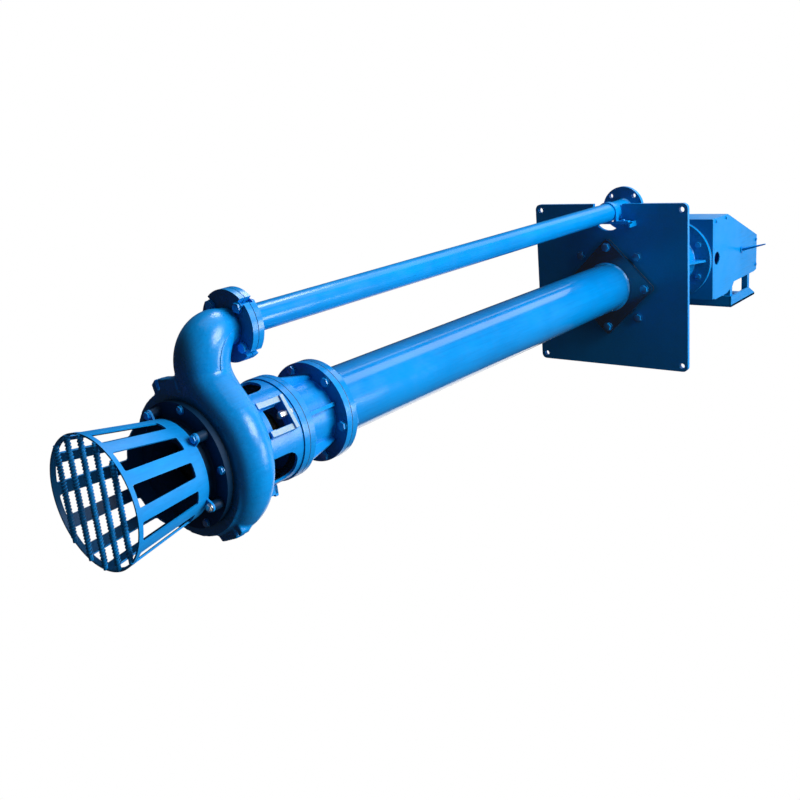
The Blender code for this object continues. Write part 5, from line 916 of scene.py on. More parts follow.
DRUM, DISC, DISC_THICK, DISC_PLACE = 0.148, 0.198, 0.016, (0.008, 0.014)
LUG_HALF, LUG_IN, LUG_OUT, LUG_HIGH, LUG_BEVEL = 0.050, 0.168, 0.228, 0.036, 0.009
NOTCH_LOW, NOTCH_HIGH, NOTCH_DEEP = 0.020, 0.030, 0.030
LUGS = ((151.0, DISC_THICK), (345.0, LAP))
VOXEL, SMOOTHING = 0.0040, 12
body = tube_along("casing_body", path)
drum = turned("drum", [(DRUM, front + LAP), (DRUM, back - LAP)], hollow=False)
disc = turned("disc", [(DISC, front + LAP), (DISC, front + DISC_THICK)], *DISC_PLACE, hollow=False)
bevelled, notched = LUG_BEVEL - LUG_OUT, NOTCH_DEEP - LUG_OUT
lug_outline = [(-LUG_IN, -LUG_HALF), (bevelled, -LUG_HALF), (-LUG_OUT, NOTCH_LOW), (notched, NOTCH_LOW),
               (notched, NOTCH_HIGH), (-LUG_OUT, NOTCH_HIGH), (bevelled, LUG_HALF), (-LUG_IN, LUG_HALF)]
lugs = [copies("lug", cut_out("lug", lug_outline, front + rise, LUG_HIGH), [spin(angle)])
        for angle, rise in LUGS]
casing = joined("casing", [body, drum, disc] + lugs)
apply_modifier(casing, "REMESH", mode="VOXEL", voxel_size=VOXEL)
apply_modifier(casing, "SMOOTH", factor=0.5, iterations=SMOOTHING)
print("cast skin", len(casing.data.polygons), "faces")

# %% [markdown]
# The passage, the chamber and the seats are cut into the skin as the machine tool cuts them.
# The flange at the elbow's end is faced on a lathe, so it is turned separately and stays crisp,
# with four bolt slots open to its rim. A thin bead along the elbow is where the mould parted.

# %% Bores, flange and mould line
CHAMBER, CHAMBER_ROOF, SEAT_BORE, SEAT, SEAT_DEEP = 0.132, 0.018, 0.088, 0.1455, 0.03
COVER_SCREWS, COVER_CIRCLE, FIRST_COVER_SCREW, TAP_DEPTH = 5, 0.157, 84.0, 0.0083
THROUGH, SLOT_OUT, BEAD, BEAD_SINK, PROUD = 0.04, 0.12, 0.0018, 0.0004, 0.0005
outside = [(Vector((PIPE_X, PIPE_Y, flange_face + THROUGH)), OUTLET)]
boolean(casing, tube_along("passage", path[1:-1] + outside, CASING_WALL))
chamber = [(CHAMBER, front - 2 * OVER), (CHAMBER, back - CHAMBER_ROOF)]
boolean(casing, turned("chamber", chamber, hollow=False))
bracket_seat = [(SEAT_BORE, back - SEAT_DEEP), (SEAT_BORE, back), (SEAT, back), (SEAT, back + THROUGH)]
boolean(casing, turned("seat", bracket_seat, hollow=False))
cover_screws = round_places(COVER_CIRCLE, COVER_SCREWS, FIRST_COVER_SCREW)
drill = rod("drill", (0, 0, front - OVER), (0, 0, front + TAP_DEPTH), M12["hole"])
boolean(casing, copies("drills", drill, cover_screws))
soften(casing, CASTING_EDGE, 1, 50.0)
at_pipe = Matrix.Translation((PIPE_X, PIPE_Y, 0))


def slots_65(low):
    """Four bolt slots, open to the rim of a flange on the pipe's axis."""
    below, above = low - OVER, low + FLANGE_65_THICK + OVER
    slot = plate("slot", (-SLOT_OUT, -SLOT, below), (-BOLTS_65, SLOT, above))
    end = rod("slot_end", (-BOLTS_65, 0, below - PROUD), (-BOLTS_65, 0, above + PROUD), SLOT, 24)
    boolean(slot, end, "UNION")
    return copies("slots", slot, [at_pipe @ spin(45.0 + 90.0 * i) for i in range(4)])


flange_bore, flange_top = OUTLET - CASING_WALL, flange_face + FLANGE_65_THICK
flange = turned("flange", [(flange_bore, flange_face), (FLANGE_65, flange_face), (FLANGE_65, flange_top),
                           (flange_bore, flange_top)], PIPE_X, PIPE_Y)
boolean(flange, slots_65(flange_face))
soften(flange, STEEL_EDGE)
mould_line = [(centre + Vector((0, BEAD_SINK - radius, 0)), BEAD) for centre, radius in neck[4:] + elbow]
bead = tube_along("mould_line", mould_line)
casing = joined("pump_casing", [casing, flange, bead])
fit(casing, ["volute_casing"], "pump_frame", cast_paint)

# %% [markdown]
# ## Suction cover
# The casing is closed below by a turned cover with the inlet in its middle. A raised boss
# centres the strainer, and five small bosses take the strainer's bolts. The whole cover is
# painted near black, as painted shade against the blue casing.

# %% Suction cover
INLET, INLET_RIM, INLET_BOSS, CHAMFER, COVER_FILLET, EYE = 0.082, 0.120, 0.122, 0.002, 0.005, 0.060
LID, LID_THICK, SPIGOT, SPIGOT_HIGH, GASKET_BORE, COVER_SCREW = 0.170, 0.018, 0.1314, 0.010, 0.1445, 0.026
TABS, TAB_CIRCLE, TAB_HALF, FIRST_TAB, BOSS_FOOT, BOSS_FLARE = 5, 0.150, 0.013, 48.0, 0.004, 0.003
low, high = ends("suction_cover")
cover_top = high - SPIGOT_HIGH
cover_face = cover_top - LID_THICK
cover = turned("cover", [(INLET, low), (INLET_RIM, low), (INLET_BOSS, low + CHAMFER),
                         (INLET_BOSS, cover_face - COVER_FILLET), (INLET_BOSS + COVER_FILLET, cover_face),
                         (LID, cover_face), (LID, cover_top), (SPIGOT, cover_top), (SPIGOT, high),
                         (EYE, high), (EYE, cover_face + CHAMFER)], steps=LARGE_ROUND)
tab_top = ends("strainer_basket")[1]
boss = turned("boss", [(TAB_HALF, tab_top + GAP), (TAB_HALF, cover_face - BOSS_FOOT),
                       (TAB_HALF + BOSS_FLARE, cover_face + LAP)], steps=32, hollow=False)
bosses = copies("bosses", boss, round_places(TAB_CIRCLE, TABS, FIRST_TAB))
drilled(cover, M12, cover_face, cover_top, cover_screws)
cover = joined("suction_lid", [cover, bosses])
soften(cover, TURNED_EDGE)
fit(cover, ["suction_cover"], "pump_frame", cover_paint)
sheet = sheet_ring("cover_gasket", GASKET_BORE, LID - RIM_GAP, cover_top + GAP)
below_cover = round_places(COVER_CIRCLE, COVER_SCREWS, FIRST_COVER_SCREW, cover_face - GAP, True)
screws = copies("screws", screw(M12, 0.0, COVER_SCREW), below_cover)
gasket_and_bolts("cover_gasket_with_screws", sheet, screws, flange_paint)

# %% [markdown]
# ## Strainer
# A fabricated basket keeps stones out of the pump: a rolled band above, a hoop below, and flat
# bars between long slots, all slightly flared. Five ribbed reinforcing rods are welded across
# its mouth. The slots are cut by one rounded wedge that is copied round, and the ribs of a rod
# are one thin ring repeated along it.

# %% Strainer basket
NARROW, WIDE, SHEET, BAND, HOOP, BARS, BAR = 0.133, 0.1735, 0.005, 0.038, 0.013, 12, 0.034
BASKET_HIGH, WEDGE_OUT, WEDGE_IN, SLOT_CORNER = 0.237, 0.20, 0.10, 0.005
TAB_THICK, TAB_ROOT, TAB_SCREW, UNPAINTED_TAB = 0.006, 0.003, 0.022, 1
mouth = tab_top - BASKET_HIGH
basket_line = [(NARROW, tab_top), (NARROW - SHEET, tab_top), (WIDE - SHEET, mouth), (WIDE, mouth)]
basket = turned("basket", basket_line, steps=96)
slot_top, slot_low = tab_top - BAND, mouth + HOOP


def slot_half(height):
    """Half the width of a slot at a height, so that the bars between keep one width."""
    wall = NARROW + (WIDE - NARROW) * (tab_top - height) / (tab_top - mouth)
    return wall * math.sin(math.pi / BARS) - BAR / 2


half_low, half_top = slot_half(slot_low), slot_half(slot_top)
wedge = plate("wedge", (-WEDGE_OUT, -half_low, slot_low), (-WEDGE_IN, half_low, slot_top))
editing(wedge, "VERT")
pick("VERT", lambda middle, way: middle.z > slot_top - LAP)
bpy.ops.transform.resize(value=(1.0, half_top / half_low, 1.0), center_override=(0, 0, slot_top))
bpy.ops.object.mode_set(mode="OBJECT")
round_edges(wedge, lambda middle, way: abs(way.x) > STANDING, SLOT_CORNER, 4)
boolean(basket, copies("wedges", wedge, [spin(360.0 * (i + 0.5) / BARS) for i in range(BARS)]))
tab_low = tab_top - TAB_THICK
tab = plate("tab", (-TAB_CIRCLE, -TAB_HALF, tab_low), (-NARROW + TAB_ROOT, TAB_HALF, tab_top))
boolean(tab, rod("tab_end", (-TAB_CIRCLE, 0, tab_low), (-TAB_CIRCLE, 0, tab_top), TAB_HALF, 32), "UNION")
tabs = copies("tabs", tab, [spin(FIRST_TAB + 360.0 / TABS * i) for i in range(TABS)])
basket = joined("basket", [basket, tabs])
soften(basket, THIN_EDGE)

# %% Ribbed rods across the mouth
RODS, ROD, ROD_GAP, ROD_END, ROD_SUNK, CORE_UNDER = 5, 0.006, 0.057, 0.002, 0.0030, 0.0002
RIB_PITCH, RIB_WIRE, RIB_PROUD, RIB_LEAN, RIB_FIRST, RIB_SPARE = 0.0085, 0.0020, 0.0004, 68.0, 0.006, 0.010
height = mouth - ROD / 2 + ROD_SUNK
rods = []
for i in range(RODS):
    y = ROD_GAP * (i - RODS // 2)
    reach = math.sqrt(WIDE**2 - (abs(y) + ROD / 2)**2) - ROD_END
    core = rod("core", (-reach, y, height), (reach, y, height), ROD - CORE_UNDER, 20)
    bpy.ops.mesh.primitive_torus_add(location=(RIB_FIRST - reach, y, height), major_segments=24,
                                     minor_segments=8, rotation=(0, math.radians(RIB_LEAN), 0),
                                     major_radius=ROD + RIB_PROUD, minor_radius=RIB_WIRE)
    rib = settled("rib")
    apply_modifier(rib, "ARRAY", count=int((2 * reach - RIB_SPARE) / RIB_PITCH), use_relative_offset=False,
                   use_constant_offset=True, constant_offset_displace=(RIB_PITCH, 0, 0))
    rods += [core, rib]
rods = joined("rods", rods)
smooth(rods, 40.0)
basket = joined("strainer", [basket, rods])
fit(basket, ["strainer_basket"], "pump_frame", basket_paint)
for i, place in enumerate(round_places(TAB_CIRCLE, TABS, FIRST_TAB, tab_low - GAP, True)):
    holder = copies(f"tab_bolt_{i + 1}", screw(M12, 0.0, TAB_SCREW), [place])
    smooth(holder)
    look = zinc if i == UNPAINTED_TAB else sheet_paint
    fit(holder, [f"strainer_bolt_{i + 1}"], "pump_frame", look)

# %% [markdown]
# ## Discharge pipe
# A steel tube runs up beside the column. Its lower flange matches the casing's with the same
# open slots, and the upper one, above the plate, has four drilled holes. Welds are turned with it.

# %% Discharge pipe
PIPE, PIPE_WALL, TOP_FLANGE = 0.038, 0.005, 0.090
BEAD_OUT, FOOT_BEAD, BEAD_FULL, BEAD_END = 0.005, 0.006, 0.024, 0.033
foot, head = ends("discharge_pipe")
foot_top, head_low = foot + FLANGE_65_THICK, head - FLANGE_65_THICK
pipe = turned("pipe", [(PIPE - PIPE_WALL, foot), (FLANGE_65, foot), (FLANGE_65, foot_top),
                       (PIPE + FOOT_BEAD, foot_top), (PIPE + BEAD_OUT, foot + BEAD_FULL),
                       (PIPE, foot + BEAD_END), (PIPE, head - BEAD_FULL), (PIPE + BEAD_OUT, head_low),
                       (TOP_FLANGE, head_low), (TOP_FLANGE, head), (PIPE - PIPE_WALL, head)], PIPE_X, PIPE_Y)
boolean(pipe, slots_65(foot))
pipe_bolts = [at_pipe @ place for place in round_places(BOLTS_65, 4, 45.0)]
drilled(pipe, M16, head_low, head, pipe_bolts)
soften(pipe, TURNED_EDGE)
fit(pipe, ["discharge_pipe"], "pump_frame", pipe_paint)
sheet = sheet_ring("discharge_gasket", PIPE, BOLTS_65, flange_top + GAP, PIPE_X, PIPE_Y)
bolts = copies("bolts", bolt(M16, flange_face - GAP, foot_top + GAP), pipe_bolts)
gasket_and_bolts("discharge_gasket_with_bolts", sheet, bolts, sheet_paint)

# %% [markdown]
# ## Clamp and brace
# A strap bent round the pipe is bolted to a bar that hangs from the plate, so the long pipe
# can't swing. Half a turned ring, two straight legs and two wings make the strap.

# %% Clamp and brace
CLAMP, CLAMP_HALF, STRAP_IN, STRAP, WING, WING_BACK = -0.050, 0.011, 0.0386, 0.005, 0.0956, 0.038
BRACE, BRACE_END, BRACE_BOLT, LEG_LAP = 0.008, 0.0603, 0.0696, 0.0002
low, high = CLAMP - CLAMP_HALF, CLAMP + CLAMP_HALF
strap_out = STRAP_IN + STRAP
strap_line = [(STRAP_IN, low), (strap_out, low), (strap_out, high), (STRAP_IN, high)]
ring = turned("ring", strap_line, steps=SMALL_ROUND)
boolean(ring, plate("half", (0, -2 * strap_out, low - OVER), (2 * strap_out, 2 * strap_out, high + OVER)))
parts = [ring]
for side in (-1, 1):
    near, far = sorted((side * STRAP_IN, side * strap_out))
    parts.append(plate("leg", (-LEG_LAP, near, low), (WING_BACK, far, high)))
    near, far = sorted((side * STRAP_IN, side * WING))
    parts.append(plate("wing", (WING_BACK - STRAP, near, low), (WING_BACK, far, high)))
strap = copies("strap", joined("strap", parts), [at_pipe])
soften(strap, THIN_EDGE)
fit(strap, ["pipe_clamp"], "pump_frame", sheet_paint)
brace_face = WING_BACK + GAP
brace_back = brace_face + BRACE
bars = [plate("bar", (brace_face, -WING - BRACE, low), (brace_back, WING + BRACE, high))]
for side in (-1, 1):
    near, far = sorted((side * WING, side * (WING + BRACE)))
    bars.append(plate("end", (brace_face + GAP, near, low + GAP), (BRACE_END, far, -GAP)))
brace = copies("brace", joined("brace", bars), [at_pipe])
soften(brace, THIN_EDGE)
fit(brace, ["clamp_brace"], "pump_frame", sheet_paint)
for i, side in enumerate((1, -1)):
    lying = Matrix.Translation((0, side * BRACE_BOLT, CLAMP)) @ Matrix.Rotation(math.radians(90.0), 4, "Y")
    held = bolt(M8, WING_BACK - STRAP - GAP, brace_back + GAP)
    clamp_bolt = copies(f"strap_bolt_{i + 1}", held, [at_pipe @ lying])
    smooth(clamp_bolt)
    fit(clamp_bolt, [f"pipe_clamp_bolt_{i + 1}"], "pump_frame", sheet_paint)

# %% [markdown]
# ## Bearing housing
# The casting above the plate holds both bearings. Its foot is square and its head round, and
# ribs run into both: each rib is a block with its outer corner sliced off.

# %% Bearing housing
def sliced(piece, point, away):
    """Cut a corner off with a flat plane and close the cut."""
    editing(piece, "FACE")
    bpy.ops.mesh.select_all(action="SELECT")
    bpy.ops.mesh.bisect(plane_co=point, plane_no=away, use_fill=True, clear_outer=True)
    bpy.ops.object.mode_set(mode="OBJECT")


def square_flange(name, half, low, high, corner, bore, turn=0.0):
    piece = plate(name, (-half, -half, low), (half, half, high))
    round_edges(piece, standing, corner, 6)
    boolean(piece, turned("bore", [(bore, low - OVER), (bore, high + OVER)], hollow=False))
    return copies(name, piece, [spin(turn)])


HOUSING, HOUSING_BORE, HOUSING_RIM, HOUSING_FLANGE = 0.110, 0.0806, 0.186, 0.020
HOUSING_FILLET, FILLET_MID, BASE, BASE_LIFT, BASE_LAP = 0.008, 0.003, 0.152, 0.0001, 0.004
RIB_HALF, RIB_ROOT_IN, UPPER_OUT, UPPER_HIGH, UPPER_LAP = 0.005, 0.104, 0.165, 0.105, 0.004
LOWER_OUT, LOWER_HIGH, LOWER_LAP, SLICE_OUT = 0.142, 0.120, 0.016, 0.115
UPPER_SLOPE, LOWER_SLOPE = (-0.095, 0, -0.050), (-0.090, 0, 0.027)
HOLD_DOWN, HEAD_BOLT, DRIVE_BOLT = (0.184, 4, 45.0), (0.172, 4, 0.0), (0.150, 6, 0.0)
foot, head = ends("bearing_housing")
foot_top, flange_low = foot + HOUSING_FLANGE, head - HOUSING_FLANGE
housing = turned("housing", [(HOUSING_BORE, foot), (HOUSING, foot), (HOUSING, foot_top),
                             (HOUSING, flange_low - HOUSING_FILLET),
                             (HOUSING + FILLET_MID, flange_low - FILLET_MID),
                             (HOUSING + HOUSING_FILLET, flange_low), (HOUSING_RIM, flange_low),
                             (HOUSING_RIM, head), (HOUSING_BORE, head)], steps=LARGE_ROUND)
base = square_flange("base", BASE, foot + BASE_LIFT, foot_top, SQUARE_CORNER, HOUSING - BASE_LAP)
rib_low = flange_low - UPPER_HIGH
upper = plate("rib", (-UPPER_OUT, -RIB_HALF, rib_low), (-RIB_ROOT_IN, RIB_HALF, flange_low + UPPER_LAP))
sliced(upper, (-SLICE_OUT, 0, rib_low), UPPER_SLOPE)
upper = copies("ribs", upper, [spin(30.0 + 60.0 * i) for i in range(6)])
rib_top = foot + LOWER_HIGH
lower = plate("rib", (-LOWER_OUT, -RIB_HALF, foot + LOWER_LAP), (-RIB_ROOT_IN, RIB_HALF, rib_top))
sliced(lower, (-SLICE_OUT, 0, rib_top), LOWER_SLOPE)
lower = copies("ribs", lower, [spin(45.0 + 90.0 * i) for i in range(4)])
hold_downs, head_bolts, drive_bolts = (round_places(*circle) for circle in (HOLD_DOWN, HEAD_BOLT, DRIVE_BOLT))
drilled(base, M20, foot, foot_top, hold_downs)
drilled(housing, M16, flange_low, head, drive_bolts)
housing = joined("bearing_tube", [housing, base, upper, lower])
soften(housing, CAST_EDGE)
fit(housing, ["bearing_housing"], "pump_frame", cast_paint)

# %% [markdown]
# The two bearing covers close the ends, and the sheet gaskets with their bolts hold the column,
# the housing and the drive base to the plate. Painted over bolts share the paint.

# %% Covers, gaskets and bolts above
COVER, COVER_THICK, COVER_BORE, COVER_SCREWED, LID_SCREW = 0.094, 0.012, 0.0475, (0.0865, 4, 15.0), 0.010
BASE_GASKET, DRIVE_BORE = 0.104, 0.100
covers = (("lower_bearing_cover", foot - GAP, True), ("upper_bearing_cover", head + GAP, False))
for node, face, flip in covers:
    far = face - COVER_THICK if flip else face + COVER_THICK
    lid = turned(node + "_lid", [(COVER_BORE, face), (COVER, face), (COVER, far), (COVER_BORE, far)])
    soften(lid, TURNED_EDGE)
    fit(lid, [node], "pump_frame", cast_paint)
    screws = copies(node + "_screws", screw(M8, 0.0, LID_SCREW), round_places(*COVER_SCREWED, far, flip))
    smooth(screws)
    fit(screws, [node], "pump_frame", zinc)
sheet = square_flange("head_gasket", SQUARE, -GASKET - GAP, -GAP, SQUARE_CORNER, TUBE, 45.0)
square_low = ends("column_tube")[1] - SQUARE_THICK
bolts = copies("bolts", bolt(M20, square_low - GAP, PLATE_THICK + GAP), head_bolts)
gasket_and_bolts("head_gasket_with_bolts", sheet, bolts, flange_paint)
sheet = square_flange("housing_gasket", BASE, PLATE_THICK + GAP, PLATE_THICK + GAP + GASKET, SQUARE_CORNER,
                      BASE_GASKET)
bolts = copies("bolts", bolt(M20, -GAP, foot_top + GAP), hold_downs)
gasket_and_bolts("housing_gasket_with_bolts", sheet, bolts, flange_paint)
drive_foot, drive_face = ends("drive_base_plate")
sheet = sheet_ring("drive_gasket", DRIVE_BORE, HOUSING_RIM, head + GAP)
bolts = copies("bolts", bolt(M16, flange_low - GAP, drive_face + GAP), drive_bolts)
gasket_and_bolts("drive_gasket_with_bolts", sheet, bolts, flange_paint)

# %% [markdown]
# ## Drive head
# Two steel cheeks stand on a square base and carry the belt guard, a folded sheet that closes
# the rear, the slope and the top. The cheeks are drawn corner by corner and pulled to their
# thickness; each has a round sight hole at its foot and two square sockets for the motor plate.

# %% Base and cheeks
HALF, CHEEK, DRIVE_CORNER = 0.190, 0.006, 0.0035
base = plate("drive_base", (-HALF, -HALF, drive_foot), (HALF, HALF, drive_face))
round_edges(base, standing, DRIVE_CORNER, 3)
bore = [(DRIVE_BORE, drive_foot - OVER), (DRIVE_BORE, drive_face + OVER)]
boolean(base, turned("bore", bore, hollow=False))
drilled(base, M16, drive_foot, drive_face, drive_bolts)
soften(base, STEEL_EDGE)
fit(base, ["drive_base_plate"], "pump_frame", head_paint)

cheek_foot, cheek_top = ends("guard_wrap")
SLOPE_TOP, KNEE, STEP = -0.030, drive_face + 0.166, drive_face + 0.255
CHEEK_LINE = [(-HALF, cheek_foot), (HALF, cheek_foot), (0.194, cheek_foot + 0.019),
              (0.194, drive_face + 0.160), (0.172, STEP - 0.018), (0.154, STEP), (0.154, cheek_top - 0.031),
              (0.148, cheek_top), (SLOPE_TOP, cheek_top), (-HALF, KNEE)]
SOCKETS = (drive_face + 0.245, cheek_top - 0.085)
SOCKET_MID, SOCKET_HALF, SOCKET_HOLE = 0.1652, 0.0218, 0.0158
SOCKET_FROM, SOCKET_TO, PIN_PLACE, PIN_FOOT, PIN_TOP, CAP_LIFT = 0.052, 0.137, 0.0945, 0.020, 0.022, 0.0001
CLIPS = [(-0.175, cheek_foot + 0.022), (-0.175, KNEE - 0.022), (-0.008, cheek_top - 0.015),
         (0.121, cheek_top - 0.015)]
SIGHT, SIGHT_HIGH, SIGHT_IN, SIGHT_OUT = 0.031, drive_face + 0.034, 0.17, 0.20
for name, node, side in (("cheek_with_handle", "front_cheek", -1), ("far_cheek", "rear_cheek", 1)):
    cheek = cut_out(name, CHEEK_LINE, side * HALF, -side * CHEEK, "XZ")
    sight = rod("sight", (0, side * SIGHT_IN, SIGHT_HIGH), (0, side * SIGHT_OUT, SIGHT_HIGH), SIGHT,
                SMALL_ROUND)
    boolean(cheek, sight)
    parts, middle = [cheek], side * SOCKET_MID
    for height in SOCKETS:
        socket = plate("socket", (SOCKET_FROM, middle - SOCKET_HALF, height - SOCKET_HALF),
                       (SOCKET_TO, middle + SOCKET_HALF, height + SOCKET_HALF))
        hole = plate("hole", (SOCKET_FROM - OVER, middle - SOCKET_HOLE, height - SOCKET_HOLE),
                     (SOCKET_TO + OVER, middle + SOCKET_HOLE, height + SOCKET_HOLE))
        boolean(socket, hole)
        pin_line = [(M12["shank"], height + PIN_FOOT), (M12["shank"], height + PIN_TOP)]
        cap_low = height + PIN_TOP + CAP_LIFT
        cap = hexagon(cap_low, cap_low + M12["head"], M12["corner"])
        parts += [socket, turned("pin", pin_line, PIN_PLACE, middle, 16, False),
                  copies("cap", cap, [Matrix.Translation((PIN_PLACE, middle, 0))])]
    cheek = joined(name, parts)
    soften(cheek, THIN_EDGE)
    fit(cheek, [node], "pump_frame", head_paint)

# %% Folded guard, its studs and the handle
SHEET_4, FOLD, GUARD_LIP, GUARD_HALF = 0.004, 0.0016, 0.142, HALF - CHEEK - GAP
CLIP_HALF, CLIP_DEEP, STUD_SCREW = 0.010, 0.030, 0.016
inner_x, inner_z = SHEET_4 - HALF, cheek_top - SHEET_4
guard_line = [(-HALF, cheek_foot), (inner_x, cheek_foot), (inner_x, KNEE - FOLD), (SLOPE_TOP + FOLD, inner_z),
              (GUARD_LIP, inner_z), (GUARD_LIP, cheek_top), (SLOPE_TOP, cheek_top), (-HALF, KNEE)]
guard = cut_out("folded_guard", guard_line, -GUARD_HALF, 2 * GUARD_HALF, "XZ")
soften(guard, THIN_EDGE)
fit(guard, ["guard_wrap"], "pump_frame", head_paint)
studs = []
for x, z in CLIPS:
    for side in (-1, 1):
        at = Matrix.Translation((x, side * HALF, z)) @ Matrix.Rotation(math.radians(-90.0 * side), 4, "X")
        studs.append(copies("stud", screw(M8, GAP, STUD_SCREW), [at]))
        near, far = sorted((side * GUARD_HALF, side * (GUARD_HALF - CLIP_DEEP)))
        studs.append(plate("clip", (x - CLIP_HALF, near, z - CLIP_HALF), (x + CLIP_HALF, far, z + CLIP_HALF)))
studs = joined("guard_studs", studs)
soften(studs, STUD_EDGE, 1)
fit(studs, ["guard_wrap"], "pump_frame", head_paint)

HANDLE_PLACE, PAD_THICK, PAD, GRIP, GRIP_END, GRIP_SUNK = (0.011, 0.349), 0.005, 0.016, 0.008, 0.003, 0.004
GRIP_WAY = Vector((-0.0285, -0.1178, 0))
grip = Vector((HANDLE_PLACE[0], -HALF - GAP, drive_face + HANDLE_PLACE[1]))
pad = rod("pad", grip, grip + Vector((0, -PAD_THICK, 0)), PAD, 40)
soften(pad, TURNED_EDGE)
bar = rod("bar", grip + Vector((0, -GRIP_SUNK, 0)), grip + GRIP_WAY, GRIP, 32, GRIP_END)
soften(bar, CASTING_EDGE)
fit(joined("handle", [pad, bar]), ["guard_handle"], "pump_frame", head_paint)

# %% [markdown]
# ## Belt pulley and shaft
# The pulley is turned from grey iron with four grooves, a web and a keyed hub, and a washer and
# a bolt hold it down. The shaft is turned in steps from bar; most of it is out of sight in the
# column, but the windows of the bracket and the belt side of the drive head show its ends.

# %% Pulley, end bolt and shaft
RIM, RIM_IN, RIM_CHAMFER = 0.125, 0.103, 0.001
GROOVES, GROOVE_DEEP, GROOVE_HALF, GROOVE_FLOOR = 4, 0.013, 0.00675, 0.003
HUB, HUB_BORE, HUB_FILLET, HUB_ROOT = 0.050, 0.0278, 0.005, 0.016
WEB_HALF, WEB_RIM, RIM_ROOT, RIM_FILLET = 0.012, 0.095, 0.014, 0.100
low, high = ends("belt_pulley")
pitch, web = (high - low) / GROOVES, (low + high) / 2
line = [(RIM_IN, low), (RIM - RIM_CHAMFER, low), (RIM, low + RIM_CHAMFER)]
for i in range(GROOVES):
    middle, groove_foot = low + pitch * (i + 0.5), RIM - GROOVE_DEEP
    line += [(RIM, middle - GROOVE_HALF), (groove_foot, middle - GROOVE_FLOOR),
             (groove_foot, middle + GROOVE_FLOOR), (RIM, middle + GROOVE_HALF)]
over_web = [(RIM_FILLET, RIM_ROOT), (WEB_RIM, WEB_HALF), (HUB + HUB_FILLET, WEB_HALF), (HUB, HUB_ROOT)]
line += [(RIM, high - RIM_CHAMFER), (RIM - RIM_CHAMFER, high), (RIM_IN, high)]
line += [(reach, web + up) for reach, up in over_web]
line += [(HUB, high), (HUB_BORE, high), (HUB_BORE, low), (HUB, low)]
line += [(reach, web - up) for reach, up in reversed(over_web)]
pulley = turned("pulley", line, steps=LARGE_ROUND)
smooth(pulley, 35.0)
fit(pulley, ["belt_pulley"], "rotor", iron)
END_WASHER, END_WASHER_THICK, BOLT_SUNK = 0.040, 0.008, 0.0001
low, high = ends("pulley_end_bolt")
washer_top = low + END_WASHER_THICK
washer_line = [(END_WASHER, low), (END_WASHER, washer_top)]
end_washer = turned("end_washer", washer_line, steps=SMALL_ROUND, hollow=False)
end_bolt = joined("end_bolt", [end_washer, hexagon(washer_top - BOLT_SUNK, high, M16["corner"])])
soften(end_bolt, CASTING_EDGE)
fit(end_bolt, ["pulley_end_bolt"], "rotor", zinc)

# %% Shaft, sleeve and slinger
nose, top = ends("shaft")
SHAFT_STEPS = [(0.024, -2.1803), (0.032, -0.022), (0.0375, 0.1014), (0.046, 0.5907), (0.0375, 0.690)]
SHAFT_NOSE, SHAFT_END, SHAFT_CHAMFER = 0.024, 0.0275, 0.001
shaft_line = [(SHAFT_NOSE - SHAFT_CHAMFER, nose), (SHAFT_NOSE, nose + SHAFT_CHAMFER)]
for (radius, height), (wider, _) in zip(SHAFT_STEPS, SHAFT_STEPS[1:] + [(SHAFT_END, top)]):
    shaft_line += [(radius, height), (wider, height)]
shaft_line += [(SHAFT_END, top - SHAFT_CHAMFER), (SHAFT_END - SHAFT_CHAMFER, top)]
shaft = turned("turned_shaft", shaft_line, steps=SMALL_ROUND, hollow=False)
smooth(shaft, 35.0)
fit(shaft, ["shaft"], "rotor", steel)
SLEEVE_BORE, SLEEVE, SLINGER_BORE, SLINGER, SLINGER_SLOPE = 0.0323, 0.037, 0.0378, 0.070, 0.003
low, high = ends("shaft_sleeve")
sleeve_line = [(SLEEVE_BORE, low), (SLEEVE, low), (SLEEVE, high), (SLEEVE_BORE, high)]
sleeve = turned("sleeve", sleeve_line, steps=SMALL_ROUND)
soften(sleeve, CASTING_EDGE)
fit(sleeve, ["shaft_sleeve"], "rotor", steel)
low, high = ends("slinger")
slinger_line = [(SLINGER_BORE, low), (SLINGER, low + SLINGER_SLOPE), (SLINGER, high), (SLINGER_BORE, high)]
slinger = turned("slinger_ring", slinger_line, steps=SMALL_ROUND)
soften(slinger, BUSH_EDGE)
fit(slinger, ["slinger"], "rotor", rubber)

# %% [markdown]
# ## Motor plate
# The motor is bolted to a tray that slides on four square legs to tighten the belts. The tray
# is a thick plate with long slots, two side flanges with a sloped upper end, and a sill.

# %% Motor plate
PLATE_BACK, PLATE_FRONT, TRAY_FRONT, SIDE_SLOPE, SIDE_THICK = 0.277, 0.265, 0.222, 0.084, 0.010
SLOT_HALF, SLOT_ROUND, MOTOR_BOLTS = (0.007, 0.025), 0.0069, 0.108
SILL, SILL_IN, LEG_HALF, LEG_FROM = 0.010, 0.005, 0.015, 0.080
low, high = ends("motor_plate")
tray = plate("tray", (PLATE_FRONT, -HALF, low), (PLATE_BACK, HALF, high))
across, up = SLOT_HALF
slot = plate("slot", (PLATE_FRONT - OVER, -across, -up), (PLATE_BACK + OVER, across, up))
round_edges(slot, lambda middle, way: abs(way.x) > STANDING, SLOT_ROUND, 5)
middle = (low + high) / 2
spots = [Matrix.Translation((0, y * MOTOR_BOLTS, middle + z * MOTOR_BOLTS)) for y in (-1, 1) for z in (-1, 1)]
boolean(tray, copies("slots", slot, spots))
rear, upper = PLATE_BACK - GAP, high - GAP
side_line = [(TRAY_FRONT, low), (rear, low), (rear, upper), (PLATE_FRONT, upper),
             (TRAY_FRONT, high - SIDE_SLOPE)]
sides = [cut_out("side", side_line, side * HALF, -side * SIDE_THICK, "XZ") for side in (-1, 1)]
sill = plate("sill", (TRAY_FRONT, SILL_IN - HALF, low), (rear, HALF - SILL_IN, low + SILL))
